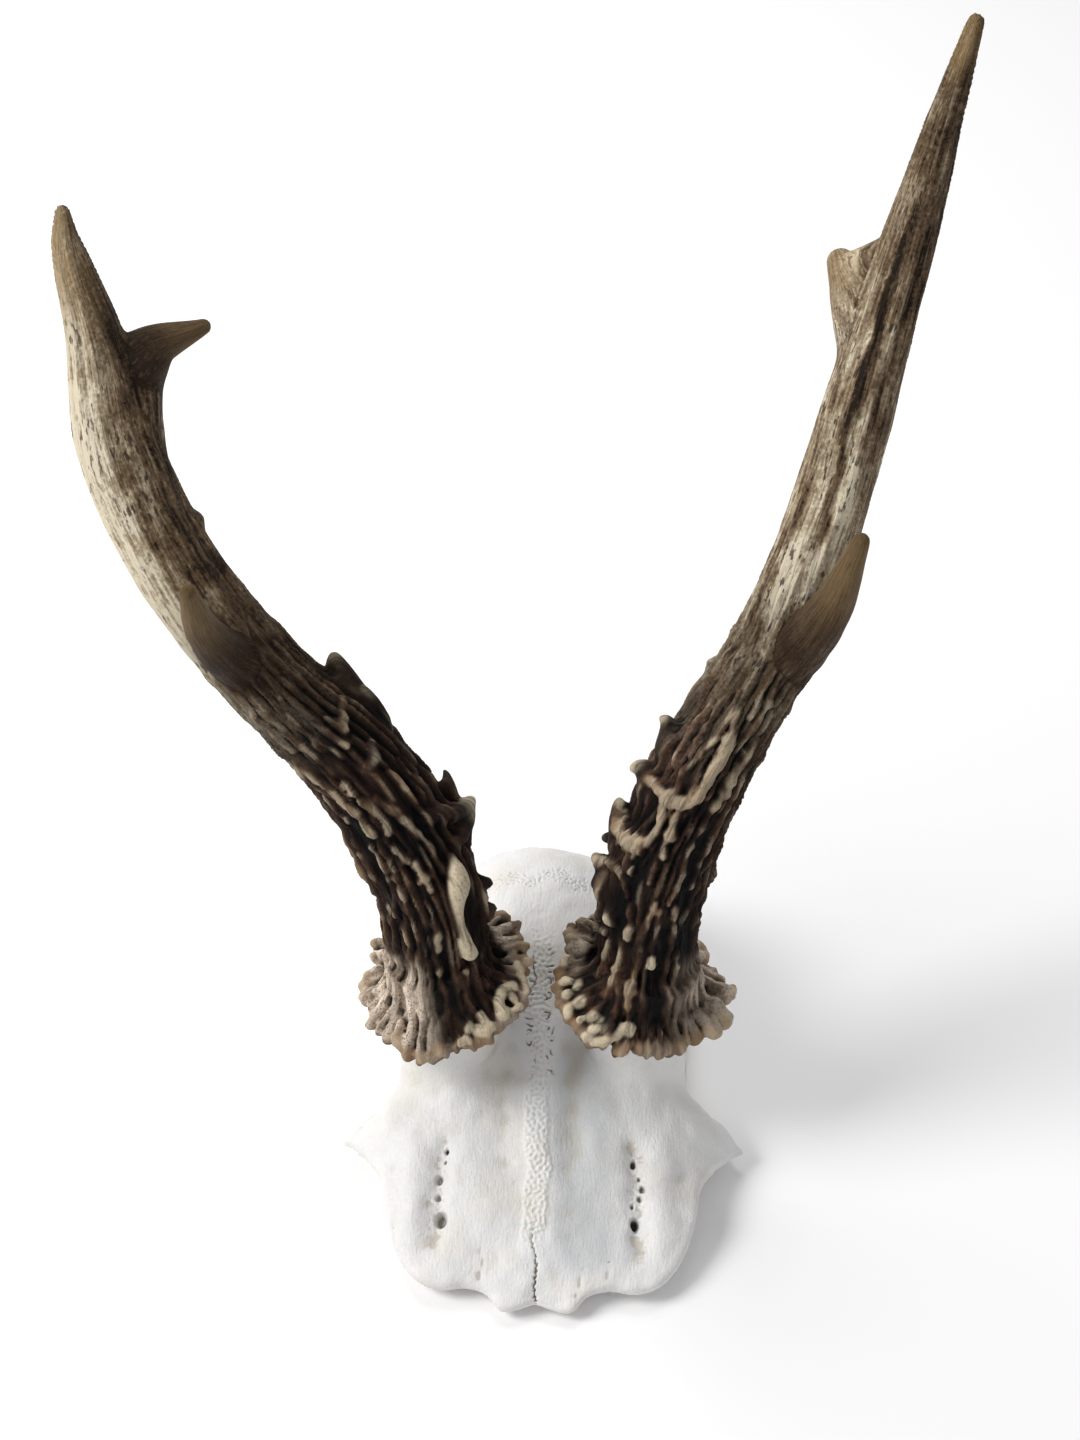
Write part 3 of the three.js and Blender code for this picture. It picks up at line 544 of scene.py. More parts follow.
def skinMaps(plan, length):
    # relief, crest and ivory over an unrolled beam; columns run round it and join up, rows run up it
    cell, seed = skin["cell"], plan["seed"]
    columns = int(round(2 * np.pi * skin["girth"] / cell))
    rows = int((length + skin["below"] + 6) / cell)
    s = np.arange(rows) * cell - skin["below"]
    noise = lambda wave, k, *stretch: bandNoise((rows, columns), cell, wave, seed + k, *stretch)
    # long winding ridges every few millimetres, and thinner ones between them
    lines = crossings(noise(4.8, 1, 0.06, 0.45), cell, 0.62)
    thin = crossings(noise(3.0, 2, 0.065, 0.45), cell, 0.42)
    broken = smooth(-1.9, -0.8, noise(11, 3, 0.2))
    beads = 0.94 + 0.09 * noise(2.6, 4, 0.5)
    crest = np.maximum(lines * broken * beads, 0.6 * thin * smooth(0.1, 1.1, noise(6, 5, 0.35)) * beads)
    drawn, calm = drawCords(plan, s, 1 + 0.12 * noise(1.5, 17, 0.5))
    crest = crest * (1 - 0.75 * calm)
    relief = (1.0 * crest + drawn - 0.65 + 0.12 * noise(2.6, 8, 0.5) + 0.09 * noise(1.1, 9, 0.15)
              + 0.2 * noise(9, 10, 0.4))
    rough = 1 - 0.9 * smooth(plan["roughUpTo"] - 12, plan["roughUpTo"] + 30, s)[:, None]
    flutes = 0.14 * noise(4.2, 11, 0.1) + 0.05 * noise(1.6, 12, 0.12)
    ivory = 0.55 * smooth(0.5, 1, lines) * smooth(0.2, 1.4, noise(4, 6, 0.35))
    ivory = np.maximum(ivory * (1 - calm), smooth(0.7, 1.35, drawn * (1 + 0.3 * noise(2.5, 14, 0.4))))
    pattern = relief * (0.4 + 0.6 * rough) - 0.15 * (1 - rough)
    return {"relief": relief * rough + flutes * (1 - rough), "pattern": pattern, "ivory": ivory * rough,
            "striae": 0.3 * noise(0.95, 18, 0.12) + 0.12 * noise(0.8, 19, 0.5),
            "streak": 0.65 * noise(1.5, 13, 0.14) + 0.55 * noise(3.6, 15, 0.12) + 0.45 * noise(1.2, 16, 0.5)}


def readSkin(field, s, degrees):
    around = np.radians(degrees) % (2 * np.pi) * skin["girth"] / skin["cell"] % (field.shape[1] - 0.001)
    return readMap(field, around, (s + skin["below"]) / skin["cell"])


def burrFrame(outward):
    pitch, tilt = math.radians(burr["pitch"]), math.radians(burr["tilt"])
    axis = Vector((outward * math.sin(tilt), -math.cos(pitch), math.sin(pitch))).normalized()
    turn = np.array(Vector((0, 0, 1)).rotation_difference(axis).to_matrix())
    x, y, z = burr["centre"]
    return turn, np.array([outward * x, y, z])


def onBurr(turn, centre, degrees, radius, height):
    a = np.radians(np.asarray(degrees, float))
    flat = [np.broadcast_to(part, a.shape) for part in (radius * np.cos(a), radius * np.sin(a), height)]
    return np.stack(flat, axis=-1) @ turn.T + centre


def burrFingers(plan, rng):
    fingers = [(degrees + rng.uniform(-1.5, 1.5), reach + rng.uniform(-0.9, 0.6),
                size * rng.uniform(0.7, 1.35)) for degrees, reach, size in plan["fingers"]]
    for degrees in np.arange(plan["backFrom"], plan["backTo"], burr["fingerGap"]):
        fingers.append((degrees + rng.uniform(-3, 3), rng.uniform(14.6, 17.2), rng.uniform(1.0, 1.9)))
    return [finger + (rng.uniform(-0.9, 1.2),) for finger in fingers]   # the last is how far it curls up


def evened(ring, reach):
    # averages each value of a closed ring with so many neighbours each way
    count = 2 * reach + 1
    return np.convolve(np.r_[ring[-reach:], ring, ring[:reach]], np.ones(count) / count, "valid")


def burrBodies(plan):
    # one flared, scalloped rim that grows out of the beam, with pearls and loose fingers on it
    rng = np.random.default_rng(plan["seed"] + 100)
    turn, centre = burrFrame(plan["outward"])
    a = np.linspace(0, 360, 420, endpoint=False)
    fingers = burrFingers(plan, rng)
    edge, lift = np.full(len(a), burr["leastReach"]), np.zeros(len(a))
    for degrees, reach, size, up in fingers + [lobe + (0.2,) for lobe in plan["rim"]]:
        arc = np.radians(turnFrom(degrees, a)) * burr["arcRadius"]
        lobe = reach - 2.0 * (np.abs(arc) / (size * 0.92)) ** 2.0
        lift = np.where(lobe > edge, up, lift)
        edge = np.maximum(edge, lobe)
    lift, lobes = evened(lift, 4), edge - evened(edge, 20)
    core, neck = burr["coreRadius"], burr["neckRadius"]
    rings = list(burr["underside"])
    for share, height in burr["rimProfile"]:
        rings.append((core + (edge - core) * share, height + lift))
    for t in burr["topSteps"]:
        radius = edge - 0.35 + (neck - edge) * (1 - (1 - t) ** 1.7)
        rings.append((radius, 0.9 + burr["neckRise"] * t ** 1.5 + (lift + 1.3 * lobes) * (1 - t)))
    bodies, pale = [loftBody([onBurr(turn, centre, a, radius, height) for radius, height in rings])], []

    def grow(degrees, radii, heights, size, paleness, start, full):
        body, path = strand(onBurr(turn, centre, degrees, radii, heights), size)
        bodies.append(body)
        pale.append((path, paleness * smooth(start, full, np.linspace(0, 1, len(path)))))

    for degrees, reach, size, up in fingers:
        if rng.random() < burr["fingerChance"]:
            bend = rng.uniform(-5, 5)
            radii = np.array([reach - rng.uniform(3.2, 4.6), reach - 1.9, reach - rng.uniform(0.3, 0.9)])
            heights = up + np.array([3.4, 2.0, 0.8 + rng.uniform(-0.5, 0.5)])
            grow(degrees + bend * np.array([0, 0.5, 1.0]), radii, heights, size * np.array([0.45, 0.6, 0.78]),
                 0.4, 0.3, 1.0)
    for degrees, reach, size in plan["pearls"]:
        bend, inward = rng.uniform(-4, 4), rng.uniform(0.1, 1.1)
        root = max(min(reach - inward, 13.0), reach - burr["pearlNeck"])
        radii = np.array([root, 0.5 * (root + reach), reach]) - 0.35
        heights = np.array([2.0, 1.9, 1.5]) + rng.uniform(-0.4, 0.7) + burr["pearlRise"] * (17 - reach)
        grow(degrees + bend * np.array([1.0, 0.6, 0]), radii, heights, size * np.array([0.62, 0.7, 0.85]),
             rng.uniform(0.55, 1.0), -0.5, 0.7)
    for bar in plan["bars"]:
        grow(*np.array(bar).T, bareFrom, -1, 0)
    return bodies, pale, edge


def nearestOnLimb(limb, points):
    every, batch = 5, 20000
    centres = limb["centre"][::every]
    index = np.empty(len(points), int)
    for k in range(0, len(points), batch):
        block = points[k:k + batch]
        index[k:k + batch] = ((block[:, None, :] - centres[None]) ** 2).sum(2).argmin(1) * every
    offset = points - limb["centre"][index]
    ahead = (offset * limb["along"][index]).sum(1)
    s = limb["s"][index] + ahead
    offset -= ahead[:, None] * limb["along"][index]
    sideways, rear = ((offset * limb[key][index]).sum(1) for key in ("sideways", "rear"))
    radius = np.interp(s, limb["s"], limb["radius"])
    return s, np.linalg.norm(offset, axis=1) - radius, np.degrees(np.arctan2(rear, sideways))


def antlerBodies(plan, beam, tines):
    bodies = [limbBody(limb) for limb in [beam] + tines]
    for web in plan["webs"]:
        web = np.array(web, float)
        bodies.append(strand(web[:, :3], web[:, 3], 24)[0])
    pale = []
    for paleness, *stations in plan["knobs"]:
        degrees, s, out, size = np.array(stations, float).T
        body, path = strand(onLimb(beam, degrees, s, out), size, 14)
        bodies.append(body)
        fade = 1 if paleness >= bareFrom else smooth(0.45, 0.95, np.linspace(0, 1, len(path)))
        pale.append((path, paleness * fade))
    burrParts, burrPale, edge = burrBodies(plan)
    return bodies + burrParts, pale + burrPale, edge


def easeJoins(points, edges, plan, beam, tines):
    # forks and knobs grow out of the beam without a crease
    for tine, share in zip(tines, (0.22, 0.3)):
        fork = tine["centre"][int(len(tine["s"]) * share)]
        points = relax(points, edges, 45, smooth(9.5, 4, np.linalg.norm(points - fork, axis=1)))
    for knob in plan["knobs"]:
        degrees, up, out, size = np.array([knob[1]], float).T
        reach = np.linalg.norm(points - onLimb(beam, degrees, up, out)[0], axis=1)
        points = relax(points, edges, 10, smooth(2.2 * size, 0.9 * size, reach))
    return points


def nearKnobs(points, pale):
    # how ivory and how bare the knobs, bars and pearls leave each point
    ivory, bare = np.zeros(len(points)), np.zeros(len(points))
    for path, paleness in pale:
        low, high = path[:, :3].min(0) - 4, path[:, :3].max(0) + 4
        near = np.flatnonzero(((points > low) & (points < high)).all(1))
        if len(near):
            gap = np.linalg.norm(points[near][:, None, :] - path[None, :, :3], axis=2) - path[None, :, 3]
            cover = smooth(0.55, -0.15, gap)
            ivory[near] = np.maximum(ivory[near], (paleness * cover).max(1))
            bare[near] = np.maximum(bare[near], cover.max(1) * (1.0 if np.max(paleness) >= bareFrom else 0.5))
    return ivory, bare


def dustOnBurr(plan, edge, local, out, aroundBurr, s):
    # dusty skin on the burr's outer side, its plate and the tips of its petals
    height = local[:, 2]
    aside, rearward = plan["outward"] * local[:, 0] / (out + 1e-6), local[:, 1] / (out + 1e-6)
    rimAt = np.interp(aroundBurr % 360, np.linspace(0, 360, len(edge) + 1), np.r_[edge, edge[0]])
    rimTip = smooth(-2.4, -0.6, out - rimAt) * smooth(-1.8, -0.2, height) * smooth(9, 6, s)
    flare = (smooth(plan["dustFrom"], plan["dustFrom"] + 0.95, aside) * smooth(12, 2, s)
             * smooth(-1.0, 0.6, height) * plan["dusty"])
    plate = smooth(10.8, 13, out) * smooth(-1.5, 0, height) * smooth(9, 4, s)
    flare = np.maximum(flare, 0.8 * plate * smooth(-0.3, 0.4, rearward))
    return np.clip(np.maximum(flare, 0.5 * plan["dusty"] * rimTip), 0, 1), rimTip


def spot(degrees, s, theta, up, wide, long, amount):
    # a place on the beam with a soft edge
    return amount * np.exp(-(turnFrom(theta, degrees) / wide) ** 2 - ((s - up) / long) ** 2)


def buildAntler(side):
    plan = antlers[side]
    beam = limbFrame(plan["beam"])
    tines = [limbFrame(plan[key]) for key in ("frontTine", "rearTine")]
    bodies, pale, edge = antlerBodies(plan, beam, tines)
    piece = fuse("antler_" + side, bodies, antlerVoxel)
    mesh = piece.data
    edges = readEdges(mesh)
    points = easeJoins(relax(readPoints(mesh), edges, 2), edges, plan, beam, tines)
    writePoints(mesh, points)

    s, over, degrees = nearestOnLimb(beam, points)
    onTine, tineAt, shade, stained = (np.zeros(len(points)) for _ in range(4))
    turnAt, upAt = degrees.copy(), s.copy()
    for tine, paleness in zip(tines, plan["tinePaleness"]):
        ts, tOver, tDegrees = nearestOnLimb(tine, points)
        blend = smooth(-1.8, 2.2, over - tOver) * smooth(0, 7, ts)
        bark = smooth(-4.5, 4, over - tOver) * smooth(0, 9, ts) * smooth(0.3, -0.4, paleness)
        stained = np.maximum(stained, bark)
        nearer = blend > onTine
        tineAt, shade = np.where(nearer, ts / tine["length"], tineAt), np.where(nearer, paleness, shade)
        mostly = nearer & (blend > 0.5)
        turnAt, upAt = np.where(mostly, tDegrees, turnAt), np.where(mostly, ts + 40, upAt)
        onTine = np.maximum(onTine, blend)
    ivory, bare = nearKnobs(points, pale)
    points = relax(points, edges, 7, smooth(0.1, 0.5, bare))
    ivory = ivory * np.where(s > 14, smooth(0.2, 1.9, over), 1)   # painted shade: darker at the foot, rubbed pale on top
    along = s - 0.8 * np.maximum(over, 0) * smooth(14, 6, s)   # ridges run on outwards over the burr
    upAt = np.where(upAt == s, along, upAt)

    # furrows and ridges follow the beam, finer ones run outwards over the burr
    maps = skinMaps(plan, beam["length"])
    body = (1 - onTine) * smooth(-3.2, -1.4, s)
    plain = np.where(s > 10, smooth(2.4, 0.8, over), 0.35 + 0.5 * smooth(3.5, 0.5, over))
    gentle = plain * body * (1 - 0.8 * bare) + 0.25 * onTine
    turn, centre = burrFrame(plan["outward"])
    local = (points - centre) @ turn
    out, aroundBurr = np.hypot(local[:, 0], local[:, 1]), np.degrees(np.arctan2(local[:, 1], local[:, 0]))
    striae = (readSkin(maps["striae"], out, aroundBurr) * smooth(9.5, 12, out) * smooth(10, 7, s)
              * smooth(-3, -1, local[:, 2]))
    rise = readSkin(maps["relief"], along, degrees) * gentle + 0.5 * striae * (1 - bare)
    points = points + readNormals(mesh) * rise[:, None]
    writePoints(mesh, points)
    print("    furrows and ridges raised")

    drawnIvory = readSkin(maps["ivory"], along, degrees)
    drawnIvory = drawnIvory * np.where(s > 10, smooth(2.0, 0.8, over), smooth(0, 6, s))
    cavity = ((points - relax(points, edges, 10)) * readNormals(mesh)).sum(1)
    ivory = np.maximum(ivory, 0.48 * drawnIvory * body)
    ivory = np.maximum(ivory, 0.75 * bare * smooth(0.05, 0.3, cavity))   # knobs are palest along their edges
    flare, rimTip = dustOnBurr(plan, edge, local, out, aroundBurr, s)
    tone = np.maximum(smooth(*plan["paleFrom"], s), onTine * (0.75 + 0.25 * tineAt))
    # painted light: the beam, and its tip, are made paler on the side that faces the key light
    facingKeyLight = np.cos(np.radians(degrees - plan["paleLitSide"]))
    tip = np.maximum(smooth(beam["length"] - plan["paleTip"], beam["length"] - 2, s) * (1 - onTine),
                     smooth(0.32, 0.88, tineAt) * onTine)
    tip = tip * np.where(onTine > 0.5, 0.6, 0.55 + 0.45 * facingKeyLight)
    light = (plan["paleness"] + plan["paleSwing"] * facingKeyLight) * (1 - onTine) + shade * onTine
    wander = 4 * np.sin(s / 4.1) + 3 * np.sin(s / 1.7)
    light = light + sum(spot(degrees + wander, s, *patch) for patch in plan["patches"]) * (1 - onTine)
    turned = np.radians(turnAt)
    finishMesh(mesh, {
        "relief": (readSkin(maps["pattern"], along, degrees) + striae) * body * (1 - 0.8 * bare) + 0.1 * bare,
        "tone": tone, "ivory": ivory, "cavity": cavity, "tine": stained, "bare": bare, "flare": flare,
        "rust": sum(spot(degrees, s, *place) for place in plan["rusty"]), "rimTip": rimTip, "tipShine": tip,
        "light": light, "streak": readSkin(maps["streak"], upAt, turnAt),
        "grain": np.column_stack([np.cos(turned) * 8, np.sin(turned) * 8, upAt])})
    return piece


skull = {
    "foreheadSlope": math.tan(math.radians(22)), "nasalEdge": 3.0, "crestY": 70.0, "crestRadius": 20.0,
    "rearSlope": math.tan(math.radians(60)), "hubY": 50.0, "overhang": 0.1,
    "outline": [(0, 2.4), (3.7, 1.1), (6.2, 0.8), (9.2, 3.9), (13, 5), (17.5, 4.6), (21.4, 5.9), (24.4, 9),
                (26.6, 13.2), (28.3, 19), (29.7, 26.6), (32.8, 31.6), (36.4, 36.0), (34, 41.2), (28.8, 44.6),
                (26.8, 48), (28, 60), (28.6, 74), (26.5, 87), (20.5, 97.5), (11, 104.8), (0, rearEnd)],
    # y, half-width, rim height, and the two powers of the cross-section
    "sections": [(0, 24, 2.6, 4, 1), (10, 25, 4.8, 4, 1), (20, 28.4, 7, 3.6, 1), (27, 30.5, 6.4, 3.2, 1),
                 (35.6, 36, 5.4, 3, 1), (42.6, 31.5, 5.5, 3.4, 0.8), (48, 27, 3, 3, 0.6),
                 (60, 28, 0.3, 2.3, 0.5), (74, 28.6, 0.3, 2.1, 0.5),
                 (87, 26.5, 0.3, 2, 0.5), (97.5, 20.5, 0.3, 2, 0.5),
                 (104.8, 11, 0.3, 2, 0.5), (rearEnd, 3, 0.3, 2, 0.5)],
    "pedicle": [(13, 57, 12, 14.5), (16.2, 51.6, 25, 10.3), (17.7, 50.3, 32.5, 9.4)],
    "browPoint": [(31.2, 36.8, 4.4, 2.8), (34.4, 36.4, 4.1, 1.9), (37.0, 36.1, 3.7, 0.9)],
    "hollows": [((0, 72, 0), (22.5, 27.5, 26)), ((0, 27, -2), (14, 17, 8)),
                ((36.5, 20.5, -3), (14, 13, 7)), ((-36.5, 20.5, -3), (14, 13, 7))],
    # x, y, radius, how dark the painted shade in the hole is
    "foramina": {"left": [(17.7, 16.3, 0.95, 0.95), (17.2, 19.2, 0.4, 0.5), (18.7, 20.8, 0.5, 0.45),
                          (19.2, 22.6, 0.55, 0.55), (18.6, 24.4, 0.35, 0.4), (17.6, 27.0, 0.62, 0.8)],
                 "right": [(17.6, 16.3, 1.15, 0.3), (18.2, 20.2, 0.6, 0.15), (18.2, 23.6, 0.7, 0.2),
                           (17.2, 26.6, 0.3, 0.5), (17.0, 28.4, 0.42, 0.85)]},
    "suture": {"bandFrom": 13.5, "bandTo": 41.0, "end": 78.0, "halfWidth": 2.6},
    "coronalY": 78.5, "coronalSweep": 6.0,
    # a hollow runs up each side of the suture, deeper on the left: x, width, share
    "valleys": [(6.0, 3.6, 1.0), (-6.9, 3.8, 0.6)],
    # fine drying splits: x, y from and to, slant
    "splits": [(-10.2, 5.5, 12.0, 0.05), (7.0, 2.8, 8.2, 0.22), (-25.6, 12, 17, -0.1), (12.6, 6, 10, 0.1)],
    # the front edge: share of the overhang, share of the height
    "edgeProfile": [(1, 0), (0.7, 0.14), (0.38, 0.3), (0.14, 0.48), (0.02, 0.66), (0.0, 0.82), (0.04, 0.94)],
    "voxel": 0.62,        # mm
}


def midlineHeight(y):
    crestZ = skull["nasalEdge"] + skull["crestY"] * skull["foreheadSlope"]
    dip = 1.1 * np.sin(np.pi * np.clip(y / skull["crestY"], 0, 1))
    front = skull["nasalEdge"] + y * skull["foreheadSlope"] - dip
    lean, steep = math.atan(skull["foreheadSlope"]), math.atan(skull["rearSlope"])
    centreY = skull["crestY"] + skull["crestRadius"] * math.sin(lean)
    centreZ = crestZ - skull["crestRadius"] * math.cos(lean)
    crown = centreZ + np.sqrt(np.maximum(skull["crestRadius"] ** 2 - (y - centreY) ** 2, 0))
    turnEnd = centreY + skull["crestRadius"] * math.sin(steep)
    rear = np.maximum((rearEnd - y) * skull["rearSlope"], 0)
    return np.where(y < skull["crestY"], front, np.where(y < turnEnd, crown, rear))


def softMax(a, b, width):
    k = np.clip(0.5 + 0.5 * (b - a) / width, 0, 1)
    return a * (1 - k) + b * k + width * k * (1 - k)


def pedicleHeight(x, y):
    # the leaning cone under each burr, as a height over the plan
    cone = np.array(skull["pedicle"], float)
    best = np.full(np.shape(x), -50.0)
    for _, outward in sides:
        for level in np.linspace(3, 31, 57):
            cx, cy, radius = (np.interp(level, cone[:, 2], cone[:, k]) for k in (0, 1, 3))
            inside = radius - np.hypot(x - outward * cx, y - cy)
            best = np.maximum(best, level + np.clip(14 * inside, -40, 0.5))
    return best


def capHeight(x, y):
    table = np.array(skull["sections"])
    fineY = np.linspace(0, rearEnd, 400)
    blur = hump(np.linspace(-2, 2, 17), 1)
    blur /= blur.sum()
    sharp = [np.interp(fineY, table[:, 0], table[:, k]) for k in (1, 2, 3, 4)]
    half, rim, p, q = (np.interp(y, fineY, np.convolve(np.pad(column, 8, "edge"), blur, "valid"))
                       for column in sharp)
    half = half * np.where(x > 0, sideStretch["left"], sideStretch["right"])
    across = np.minimum(np.abs(x) / half, 1)
    crown = np.maximum(1 - across ** p, 0) ** q
    height = rim + np.maximum(midlineHeight(y) - rim, 0) * crown
    return softMax(height, pedicleHeight(x, y), 2.5)   # the frontal bone swells up into each pedicle


def undersideHeight(x, y, top):
    floor = np.zeros_like(x)
    for (cx, cy, cz), (rx, ry, rz) in skull["hollows"]:
        inside = 1 - ((x - cx) / rx) ** 2 - ((y - cy) / ry) ** 2
        floor = np.maximum(floor, cz + rz * np.sqrt(np.maximum(inside, 0)))
    return np.clip(np.minimum(floor, top - 1.6), 0, None)


def planOutline(spokes):
    half = curveThrough([(x, y, 0, 0) for x, y in skull["outline"]], 3000)
    turned = np.arctan2(half[:, 0], skull["hubY"] - half[:, 1])
    order = np.maximum.accumulate(turned)
    turn = np.linspace(0, 2 * np.pi, spokes, endpoint=False)
    wanted = np.where(turn > np.pi, 2 * np.pi - turn, turn)
    x, y = np.interp(wanted, order, half[:, 0]), np.interp(wanted, order, half[:, 1])
    x = np.where(turn > np.pi, -x * sideStretch["right"], x * sideStretch["left"])
    return x, y


def capBody():
    x, y = planOutline(720)
    hub = skull["hubY"]
    at = lambda reach: (x * reach, hub + (y - hub) * reach)
    over = skull["overhang"] * np.clip((hub - 4 - y) / 8, 0, 1)
    rings = []
    for reach in np.linspace(0.02, 0.985, 74):
        cx, cy = at(reach * (1 - over))
        rings.append((cx, cy, undersideHeight(cx, cy, capHeight(cx, cy))))
    edge = capHeight(x, y)
    for inset, lift in skull["edgeProfile"]:
        rings.append((*at(1 - inset * over), lift * edge))
    for reach in np.linspace(0.992, 0.02, 96):
        tx, ty = at(reach)
        rings.append((tx, ty, np.maximum(capHeight(tx, ty), 0.3)))
    return loftBody([np.column_stack(ring) for ring in rings])


def pedicleBody(outward):
    path = np.array(skull["pedicle"], float) * [outward, 1, 1, 1]
    body, _ = strand(path[1:, :3], path[1:, 3] - [0.6, 0.2], 48)
    return body


def buildSkullCap():
    bodies = [capBody(), pedicleBody(1), pedicleBody(-1)]
    for side, sign in sides:
        # the brow process ends in a small sharp point
        point = np.array(skull["browPoint"]) * [sign * sideStretch[side], 1, 1, 1]
        bodies.append(strand(point[:, :3], point[:, 3], 16)[0])
    piece = fuse("skull_cap", bodies, skull["voxel"])
    mesh = piece.data
    edges = readEdges(mesh)
    points = relax(readPoints(mesh), edges, 2)
    x, y, z = points.T
    seam = smooth(15, 11, np.hypot(np.abs(x) - 16.5, y - 51.5)) * smooth(16, 24, z)
    points = relax(points, edges, 40, seam)
    x, y, z = points.T
    foot = smooth(21, 17, np.hypot(np.abs(x) - 15, y - 51)) * smooth(7, 10, z) * smooth(28, 23, z)
    writePoints(mesh, relax(points, edges, 90, foot))
    subdivideDetail(mesh)
    finishMesh(mesh, carveDetail(mesh))
    return piece


def sutureLine(y):
    return -0.35 + 0.35 * np.sin(y / 3.1) + 0.25 * np.sin(y / 1.3 + 1)


def coronalLine(x):
    sweep = skull["coronalY"] - skull["coronalSweep"] * (x / 28) ** 2
    return sweep + 0.9 * np.sin(x / 1.4) + 0.5 * np.sin(x / 0.63 + 2)


def subdivideDetail(mesh):
    # finer faces where sutures and foramina need them
    x, y, z = readPoints(mesh).T
    upper = readNormals(mesh)[:, 2] > 0.15
    fine = (np.abs(x - sutureLine(y)) < 3.6) & (y < 79)
    fine |= (np.abs(y - coronalLine(x)) < 3.0) & (np.abs(x) < 27)
    for side, sign in sides:
        for hx, hy, hr, _ in skull["foramina"][side]:
            fine |= np.hypot(x - sign * hx, y - hy) < hr + 1.2
    flags = (upper & (z > 1.5) & fine).tolist()
    bm = bmesh.new()
    bm.from_mesh(mesh)
    bm.verts.ensure_lookup_table()
    chosen = [e for e in bm.edges if flags[e.verts[0].index] and flags[e.verts[1].index]]
    bmesh.ops.subdivide_edges(bm, edges=chosen, cuts=2, use_grid_fill=True)
    bm.to_mesh(mesh)
    bm.free()
    print("    finer faces along the sutures and round the foramina")


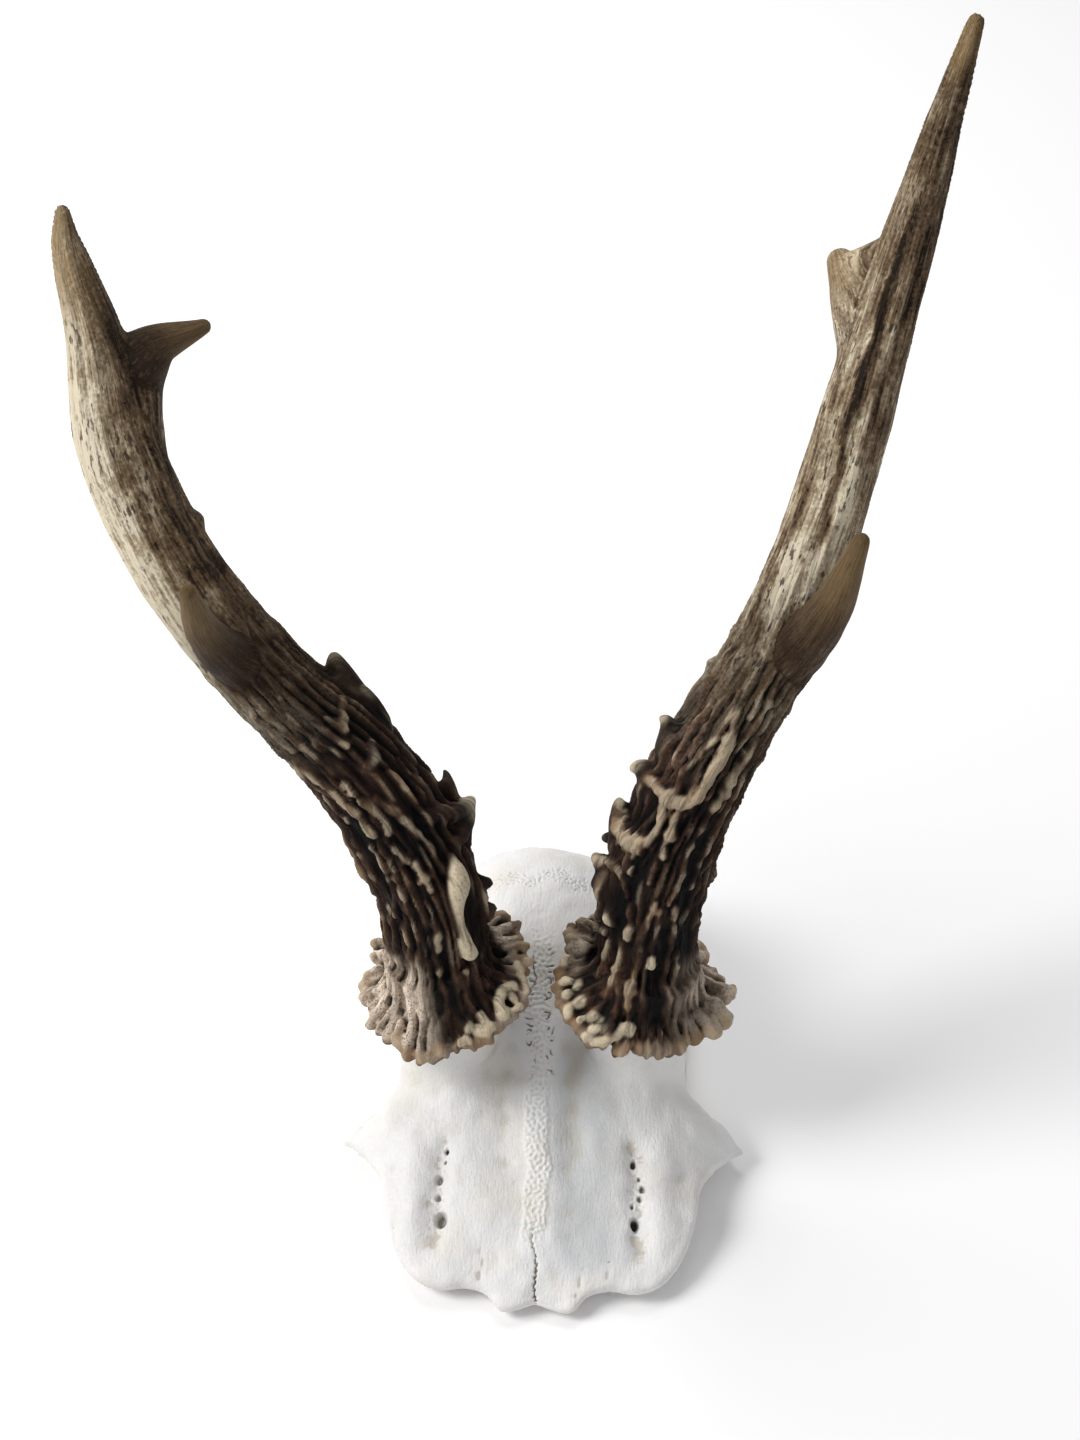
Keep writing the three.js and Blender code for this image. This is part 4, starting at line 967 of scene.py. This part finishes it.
def carveDetail(mesh):
    # raises and sinks the skin, and returns what the bone's colours follow
    points, normals, edges = readPoints(mesh), readNormals(mesh), readEdges(mesh)
    x, y, z = points.T
    cell, (cornerX, cornerY), shape = 0.12, (-40.0, -4.0), (960, 680)
    across = np.clip((x - cornerX) / cell, 0, shape[1] - 1.001)
    sample = lambda field: readMap(field, across, (y - cornerY) / cell)
    noise = lambda wave, seed: sample(bandNoise(shape, cell, wave, seed))
    worms, fineWorms = np.tanh(1.8 * noise(1.0, 5)), np.tanh(2.2 * noise(0.9, 6))
    small, gaps = noise(4.5, 8), noise(2.6, 10)
    top = smooth(0.05, 0.45, normals[:, 2]) * smooth(0.8, 2.2, z)
    push = 0.16 * noise(13, 7) + 0.05 * small
    stains, holeShade = [], np.zeros(len(x))

    suture = skull["suture"]
    beside = np.abs(x - sutureLine(y))
    band = smooth(suture["halfWidth"], suture["halfWidth"] - 0.9, beside)
    band = band * smooth(suture["bandFrom"] - 3, suture["bandFrom"] + 2, y)
    lower = smooth(suture["bandTo"] + 3, suture["bandTo"] - 3, y)
    upper = smooth(suture["bandTo"] - 3, suture["bandTo"] + 3, y) * smooth(70, 60, y)
    # above, short dark hooks stay open along the two edges of the band
    curls = sample(crossings(bandNoise(shape, cell, 2.2, 9), cell, 0.16))
    hooks = np.exp(-((beside - 1.7) / 0.8) ** 4) * curls * smooth(-0.3, 0.3, gaps)
    push += band * (lower * (0.3 + 0.12 * worms) + upper * 0.12 * worms) - upper * 0.24 * hooks
    stains += [0.85 * upper * hooks, 0.13 * band * lower * smooth(0.5, 1.0, -worms),
               0.3 * hump(x + 1.4, 1.5) * hump(y - 3.4, 1.7)]
    crack = smooth(0.3, 0.06, np.abs(x - sutureLine(y) + 0.14 * worms)) * (y < suture["end"])
    gape = np.maximum(smooth(suture["bandFrom"] + 3, suture["bandFrom"] - 2, y), 0.12 * smooth(58, 64, y))
    crack = crack * gape
    ribbon = smooth(2.6, 1.2, np.abs(y - coronalLine(x))) * smooth(27, 22, np.abs(x))
    push += ribbon * (0.08 * fineWorms - 0.14 * curls) - 0.55 * crack
    stains += [0.65 * crack * smooth(16, 6, y), 0.17 * ribbon * curls * smooth(-0.8, 0.6, gaps)]

    for side, sign in sides:
        # a trough with porous walls joins the row of small holes, and a low ridge runs outside it
        middle = sign * (18.1 - 0.05 * (y - 22)) + 0.25 * small
        trough = hump(x - middle, 1.9) * smooth(7, 14, y) * smooth(33, 28, y)
        shoulder = hump(x - sign * 23.0, 2.6) * smooth(9, 18, y) * smooth(38, 28, y)
        push += 0.8 * shoulder - 1.15 * trough - 0.13 * trough * np.maximum(worms, 0)
        stains.append(0.08 * trough * smooth(0.2, 1.0, worms))
        for hx, hy, hr, dark in skull["foramina"][side]:
            far = np.hypot(x - sign * hx, (y - hy) * 0.85) * (1 + 0.1 * small)
            push -= 1.9 * hr * smooth(hr * 1.25, hr * 0.5, far)
            # painted shade: each foramen is darkened towards its middle, standing in for its depth
            holeShade = np.maximum(holeShade, dark * smooth(hr * 1.05, hr * 0.55, far))
            stains.append(0.22 * smooth(hr * 1.7, hr * 0.9, far))
    valley = sum(share * hump(x - middle, wide) for middle, wide, share in skull["valleys"])
    push -= 1.7 * valley * smooth(18, 36, y) * smooth(66, 50, y)
    push -= 0.5 * valley * smooth(8, 20, y) * smooth(40, 26, y)
    for startX, fromY, toY, slant in skull["splits"]:
        line = np.abs(x - startX - slant * (y - fromY) - 0.12 * small)
        split = smooth(0.34, 0.05, line) * smooth(fromY - 0.6, fromY + 0.8, y)
        split = split * smooth(toY + 0.6, toY - 0.8, y)
        push -= 0.3 * split
        stains.append(0.25 * split)
    points = points + normals * (push * top)[:, None]
    writePoints(mesh, points)
    print("    sutures, foramina and hollows carved")
    return {"stain": np.max(stains, axis=0) * top, "holeShade": holeShade * top,
            "cavity": ((points - relax(points, edges, 8)) * readNormals(mesh)).sum(1),
            # painted shade: greyer on the animal's left of the suture, where the hollow beside it lies in
            # shade
            "paintedShadeBySuture": hump(x - 8.0, 7.0) * smooth(-1, 4, x) * smooth(2, 12, y) * smooth(60, 40, y),
            "cutFace": smooth(0.5, 0.15, points[:, 2])}


# Each layer is a colour and what it follows: (source, where it starts, where it is full, least, most).
boneLook = {
    "bone": "#e5e3e0",
    "layers": [
        ("#dad2c3", ("blotch", 0.45, 0.7, 0, 0.45)),        # traces of fat that warm the bone
        ("#d8dbdd", ("haze", 0.5, 0.75, 0, 0.4)),
        ("#b6b8b8", ("paintedShadeBySuture", 0, 1, 0, 0.75)),             # painted shade: greyer beside the suture, where its hollow lies in shade
        ("#b3a893", ("cavity", -0.02, -0.14, 0, 0.6)),      # painted shade in the creases
        ("#4d3e2e", ("stain", 0, 1, 0, 1)),
        # painted shade in the depth of the foramina
        ("#2b1d12", ("holeShade", 0, 1, 0, 1)),
        ("#c9b99a", ("cutFace", 0, 1, 0, 0.8)),
        ("#4d3e2e", ("cutFace", 0, 1, 0, 0.5), ("cells", 0.16, 0.05, 0, 1)),
    ],
    # noise: size in mm, or sizes across, fore and aft, and up; then detail, roughness, distortion
    "noises": {"blotch": (11.11, 3.0, 0.5, 0.0), "haze": (18.18, 2.0, 0.5, 0.0),
               "fibres": ((0.4167, 2.381, 0.7143), 3.0, 0.5, 0.0),        # run fore and aft
               "dents": (2.381, 5.0, 0.7, 1.6), "grit": (0.2857, 2.0, 0.5, 0.0)},
    "cells": 1.111,        # marrow cells in the saw cut, mm
    "bumps": [("dents", 0.35, 0.7), ("fibres", 0.45, 0.3), ("grit", 0.25, 0.1)],    # strength, depth in mm
    "roughness": (0.49, 0.65), "ior": 1.5, "translucence": (0.12, 1.5),        # weight, depth in mm
}


def bleachedBone():
    # frontal bone, boiled, whitened with peroxide and left dry: matt, faintly fibrous, slightly translucent
    look = boneLook
    material, tree = newMaterial("bone_bleached")
    place = put(tree, "ShaderNodeTexCoord", out="Object")
    sources = {name: put(tree, "ShaderNodeAttribute", out="Fac", attribute_name=name)
               for name in ("cavity", "paintedShadeBySuture", "stain", "holeShade", "cutFace")}
    for name, (size, detail, roughness, distortion) in look["noises"].items():
        scale = list(1 / (np.resize(size, 3) * mm))
        sized = put(tree, "ShaderNodeMapping", {"Vector": place, "Scale": scale})
        sources[name] = put(tree, "ShaderNodeTexNoise", {"Vector": sized, "Scale": 1.0, "Detail": detail,
                                                         "Roughness": roughness, "Distortion": distortion})
    sources["cells"] = put(tree, "ShaderNodeTexVoronoi", {"Vector": place, "Scale": 1 / (look["cells"] * mm)},
                           feature="DISTANCE_TO_EDGE")
    color = layered(tree, srgb(look["bone"]), sources, look["layers"])
    surface = {}
    for name, strength, depth in look["bumps"]:
        surface["Normal"] = put(tree, "ShaderNodeBump", {"Strength": strength, "Distance": depth * mm,
                                                         "Height": sources[name], **surface})
    smoothest, roughest = look["roughness"]
    shine = put(tree, "ShaderNodeMapRange", {0: sources["fibres"], 1: 0.2, 2: 0.8, 3: smoothest, 4: roughest})
    glow, depth = look["translucence"]
    shader = put(tree, "ShaderNodeBsdfPrincipled", {"Base Color": color, "Roughness": shine,
                                                    "IOR": look["ior"], "Subsurface Weight": glow,
                                                    "Subsurface Scale": depth * mm, **surface})
    put(tree, "ShaderNodeOutputMaterial", {"Surface": shader}, out=None)
    return material


antlerLook = {
    "furrow": "#050302", "grain": "#22180f",
    "lower": [    # bark-stained foot of the beam, near black in the furrows where painted shade deepens the stain, and worn to tan on the ridges
        ("#22150f", ("relief", -0.7, -0.1, 0, 1)),
        ("#422e21", ("relief", -0.15, 0.42, 0, 1), ("speckle", 0.35, 0.65, 0.5, 1)),
        ("#8f775d", ("relief", 0.3, 0.9, 0, 1), ("patches", 0.4, 0.6, 0.2, 1),
         ("streaks", 0.34, 0.56, 0.3, 1)),
    ],
    "rust": [
        ("#634536", ("rust", 0, 1, 0, 1), ("relief", -0.9, -0.3, 0.3, 1), ("speckle", 0.34, 0.6, 0.35, 1)),
    ],
    "upper": [    # brown grain over tan, paler where the hand and the rain have rubbed it, and painted paler on the side that faces the key light
        ("#68543e", ("wearAndLitSide", 0.05, 0.42, 0, 1)),
        ("#9c8b72", ("wearAndLitSide", 0.38, 0.7, 0, 1)),
        ("#d8ccb3", ("wearAndLitSide", 0.66, 1.0, 0, 1)),
        ("#3c2a1a", ("tine", 0, 1, 0, 0.75), ("speckle", 0.3, 0.6, 0.6, 1)),    # tines keep bark stain
        ("#37291c", ("pits", 0.55, 0.63, 0, 0.85), ("patches", 0.42, 0.58, 0, 1)),    # soil in the pits
    ],
    "whole": [
        ("#93816f", ("flare", 0, 1, 0, 1), ("speckle", 0.3, 0.6, 0.5, 1)),    # dusty petals of the burr
        ("#e2d1be", ("flare", 0, 1, 0, 1), ("relief", -0.6, 0.25, 0, 1), ("streaks", 0.32, 0.56, 0.35, 1)),
        ("#55463a", ("flare", 0, 1, 0, 1), ("grit", 0.47, 0.36, 0, 0.75)),    # with small dark grains in it
        ("#8a7053", ("rimTip", 0, 1, 0, 1), ("patches", 0.4, 0.6, 0.15, 0.85)),
        ("#d0c1a5", ("ivory", 0, 1, 0, 1), ("streaks", 0.34, 0.54, 0.4, 1), ("speckle", 0.3, 0.5, 0.7, 1)),
        # pale rubbed tips, with painted light making them paler on the side that faces the key light
        ("#a3865c", ("tipShine", 0, 1, 0, 0.8), ("streaks", 0.3, 0.6, 0.45, 1)),
        # painted shade: near black in the hollows and creases
        ("#050302", ("cavity", -0.06, -0.36, 0, 0.95)),
    ],
    # noise: size in mm (wide and long where it follows the grain), detail, roughness
    "grained": {"streaks": (0.625, 7.8125, 4.0, 0.65), "pits": (0.9091, 2.2222, 3.0, 0.5)},
    "even": {"patches": (7.143, 3.0), "speckle": (0.5882, 3.0), "grit": (0.3846, 2.0)},
    # what makes the upper beam pale: wear, its own tone, and painted light on the side that faces the key
    # light; and how much has to come together first
    "wearAndLitSide": [("light", 0.5), ("streak", 0.1), ("streaks", 1.0), ("speckle", 0.6), ("patches", 1.0)],
    "wearFrom": 0.82,
    "roughness": (0.56, 0.74), "ior": 1.54, "specular": 0.12,
    "grainDepth": 0.8, "speckleDepth": 0.2,        # mm
}


def weatheredAntler():
    # dry antler, stained by bark and soil, rubbed to ivory on ridges, pearls and tips; dull, long-grained
    look = antlerLook
    material, tree = newMaterial("antler_weathered")
    place = put(tree, "ShaderNodeTexCoord", out="Object")
    names = ("relief", "cavity", "tone", "ivory", "flare", "rimTip", "tipShine", "light", "streak", "tine",
             "rust", "bare")
    sources = {name: put(tree, "ShaderNodeAttribute", out="Fac", attribute_name=name) for name in names}
    grain = put(tree, "ShaderNodeAttribute", out="Vector", attribute_name="grain")   # in mm
    for name, (wide, long, detail, roughness) in look["grained"].items():
        sized = put(tree, "ShaderNodeMapping", {"Vector": grain, "Scale": (1 / wide, 1 / wide, 1 / long)})
        sources[name] = put(tree, "ShaderNodeTexNoise", {"Vector": sized, "Scale": 1.0, "Detail": detail,
                                                         "Roughness": roughness})
    for name, (size, detail) in look["even"].items():
        sources[name] = put(tree, "ShaderNodeTexNoise", {"Vector": place, "Scale": 1 / (size * mm),
                                                         "Detail": detail})
    wearAndLitSide = 0.0
    for name, share in look["wearAndLitSide"]:
        wearAndLitSide = put(tree, "ShaderNodeMath", {0: sources[name], 1: share, 2: wearAndLitSide}, operation="MULTIPLY_ADD")
    sources["wearAndLitSide"] = put(tree, "ShaderNodeMath", {0: wearAndLitSide, 1: look["wearFrom"]}, operation="SUBTRACT")
    lower = layered(tree, srgb(look["furrow"]), sources, look["lower"] + look["rust"])
    upper = layered(tree, srgb(look["grain"]), sources, look["upper"])
    color = put(tree, "ShaderNodeMix", {0: sources["tone"], 6: lower, 7: upper}, 2, data_type="RGBA")
    color = layered(tree, color, sources, look["whole"])
    # knobs and pearls are rubbed smooth, so the grain shows less on them
    polish = put(tree, "ShaderNodeMapRange", {0: sources["bare"], 1: 0.2, 2: 0.9, 3: 0.9, 4: 0.12})
    normal = put(tree, "ShaderNodeBump", {"Strength": polish, "Distance": look["grainDepth"] * mm,
                                          "Height": sources["streaks"]})
    normal = put(tree, "ShaderNodeBump", {"Strength": 0.5, "Distance": look["speckleDepth"] * mm,
                                          "Height": sources["speckle"], "Normal": normal})
    smoothest, roughest = look["roughness"]
    shine = put(tree, "ShaderNodeMapRange", {0: sources["streaks"], 1: 0.3, 2: 0.7,
                                             3: roughest, 4: smoothest})
    shader = put(tree, "ShaderNodeBsdfPrincipled", {"Base Color": color, "Roughness": shine,
                                                    "IOR": look["ior"], "Normal": normal,
                                                    "Specular IOR Level": look["specular"]})
    put(tree, "ShaderNodeOutputMaterial", {"Surface": shader}, out=None)
    return material


skullCap = buildSkullCap()
skullCap.data.materials.append(bleachedBone())
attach(skullCap, "root")
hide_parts("frontal_bone_left", "frontal_bone_right", "parietal_bone")
print("skull cap built")

antlerMaterial = weatheredAntler()
for side in ("left", "right"):
    piece = buildAntler(side)
    piece.data.materials.append(antlerMaterial)
    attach(piece, "root")
    parts = ("burr_", "beam_lower_", "tine_front_", "beam_middle_", "tine_rear_", "tine_main_")
    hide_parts(*[part + side for part in parts])
    print("antler", side, "built")

studio = {
    "floor": "#faf9f8", "floorReach": 6.0, "sky": "#fbfcff", "skyStrength": 0.42,
    # name, place and aim in m, size in m, power in W, colour
    "softboxes": [("key", (-0.82, -0.12, 0.74), (0, 0, 0.06), 0.5, 9.2, "#ffffff"),
                  ("fill", (0.7, -0.5, 0.5), (0, 0, 0.08), 0.6, 0.5, "#f4f7ff"),
                  ("top", (-0.1, 0.5, 0.8), (0, 0, 0.04), 0.5, 2.9, "#ffffff")],
}
camera = {"pitch": 43.0, "roll": 1.4, "place": (-1.7, -237.1, 368.2),   # degrees and mm
          "focal": 2386.5, "height": 1440, "sensor": 36.0}   # pixels, pixels and mm


def buildStage():
    reach = studio["floorReach"]
    corners = [(x * reach, y * reach, 0) for x, y in ((-1, -1), (1, -1), (1, 1), (-1, 1))]
    mesh = bpy.data.meshes.new("studio_floor")
    mesh.from_pydata(corners, [], [(0, 1, 2, 3)])
    floor = bpy.data.objects.new("studio_floor", mesh)
    bpy.context.scene.collection.objects.link(floor)
    material, tree = newMaterial("paper_matt")   # seamless studio paper, rolled out, without gloss
    shader = put(tree, "ShaderNodeBsdfPrincipled", {"Base Color": srgb(studio["floor"]), "Roughness": 0.95,
                                                    "Specular IOR Level": 0.1})
    put(tree, "ShaderNodeOutputMaterial", {"Surface": shader}, out=None)
    mesh.materials.append(material)
    world = bpy.data.worlds.new("studio")
    world.use_nodes = True
    background = world.node_tree.nodes["Background"]
    background.inputs["Color"].default_value = srgb(studio["sky"])
    background.inputs["Strength"].default_value = studio["skyStrength"]
    bpy.context.scene.world = world


def addSoftbox(name, place, aim, size, power, color):
    light = bpy.data.lights.new(name, "AREA")
    light.shape = "DISK"
    light.size = size
    light.energy = power
    light.color = srgb(color)[:3]
    lamp = bpy.data.objects.new(name, light)
    lamp.location = place
    lamp.rotation_euler = (Vector(aim) - Vector(place)).to_track_quat("-Z", "Y").to_euler()
    bpy.context.scene.collection.objects.link(lamp)


def buildCamera():
    lens = bpy.data.cameras.new("view")
    lens.sensor_fit = "VERTICAL"
    lens.sensor_height = camera["sensor"]
    lens.lens = camera["focal"] / camera["height"] * camera["sensor"]
    lens.clip_start = 0.02
    eye = bpy.data.objects.new("view", lens)
    pitch, roll = math.radians(camera["pitch"]), math.radians(camera["roll"])
    forward = Vector((0, math.cos(pitch), -math.sin(pitch)))
    right, up = Vector((1, 0, 0)), Vector((0, math.sin(pitch), math.cos(pitch)))
    rolledRight = right * math.cos(roll) + up * math.sin(roll)
    rolledUp = up * math.cos(roll) - right * math.sin(roll)
    turn = Matrix((rolledRight, rolledUp, -forward)).transposed()
    place = Vector(camera["place"]) * mm + Vector(skullOrigin)
    eye.matrix_world = Matrix.Translation(place) @ turn.to_4x4()
    bpy.context.scene.collection.objects.link(eye)
    bpy.context.scene.camera = eye


buildStage()
for softbox in studio["softboxes"]:
    addSoftbox(*softbox)
buildCamera()
print("stage, softboxes and camera placed")
bpy.context.scene.view_settings.view_transform = "Standard"
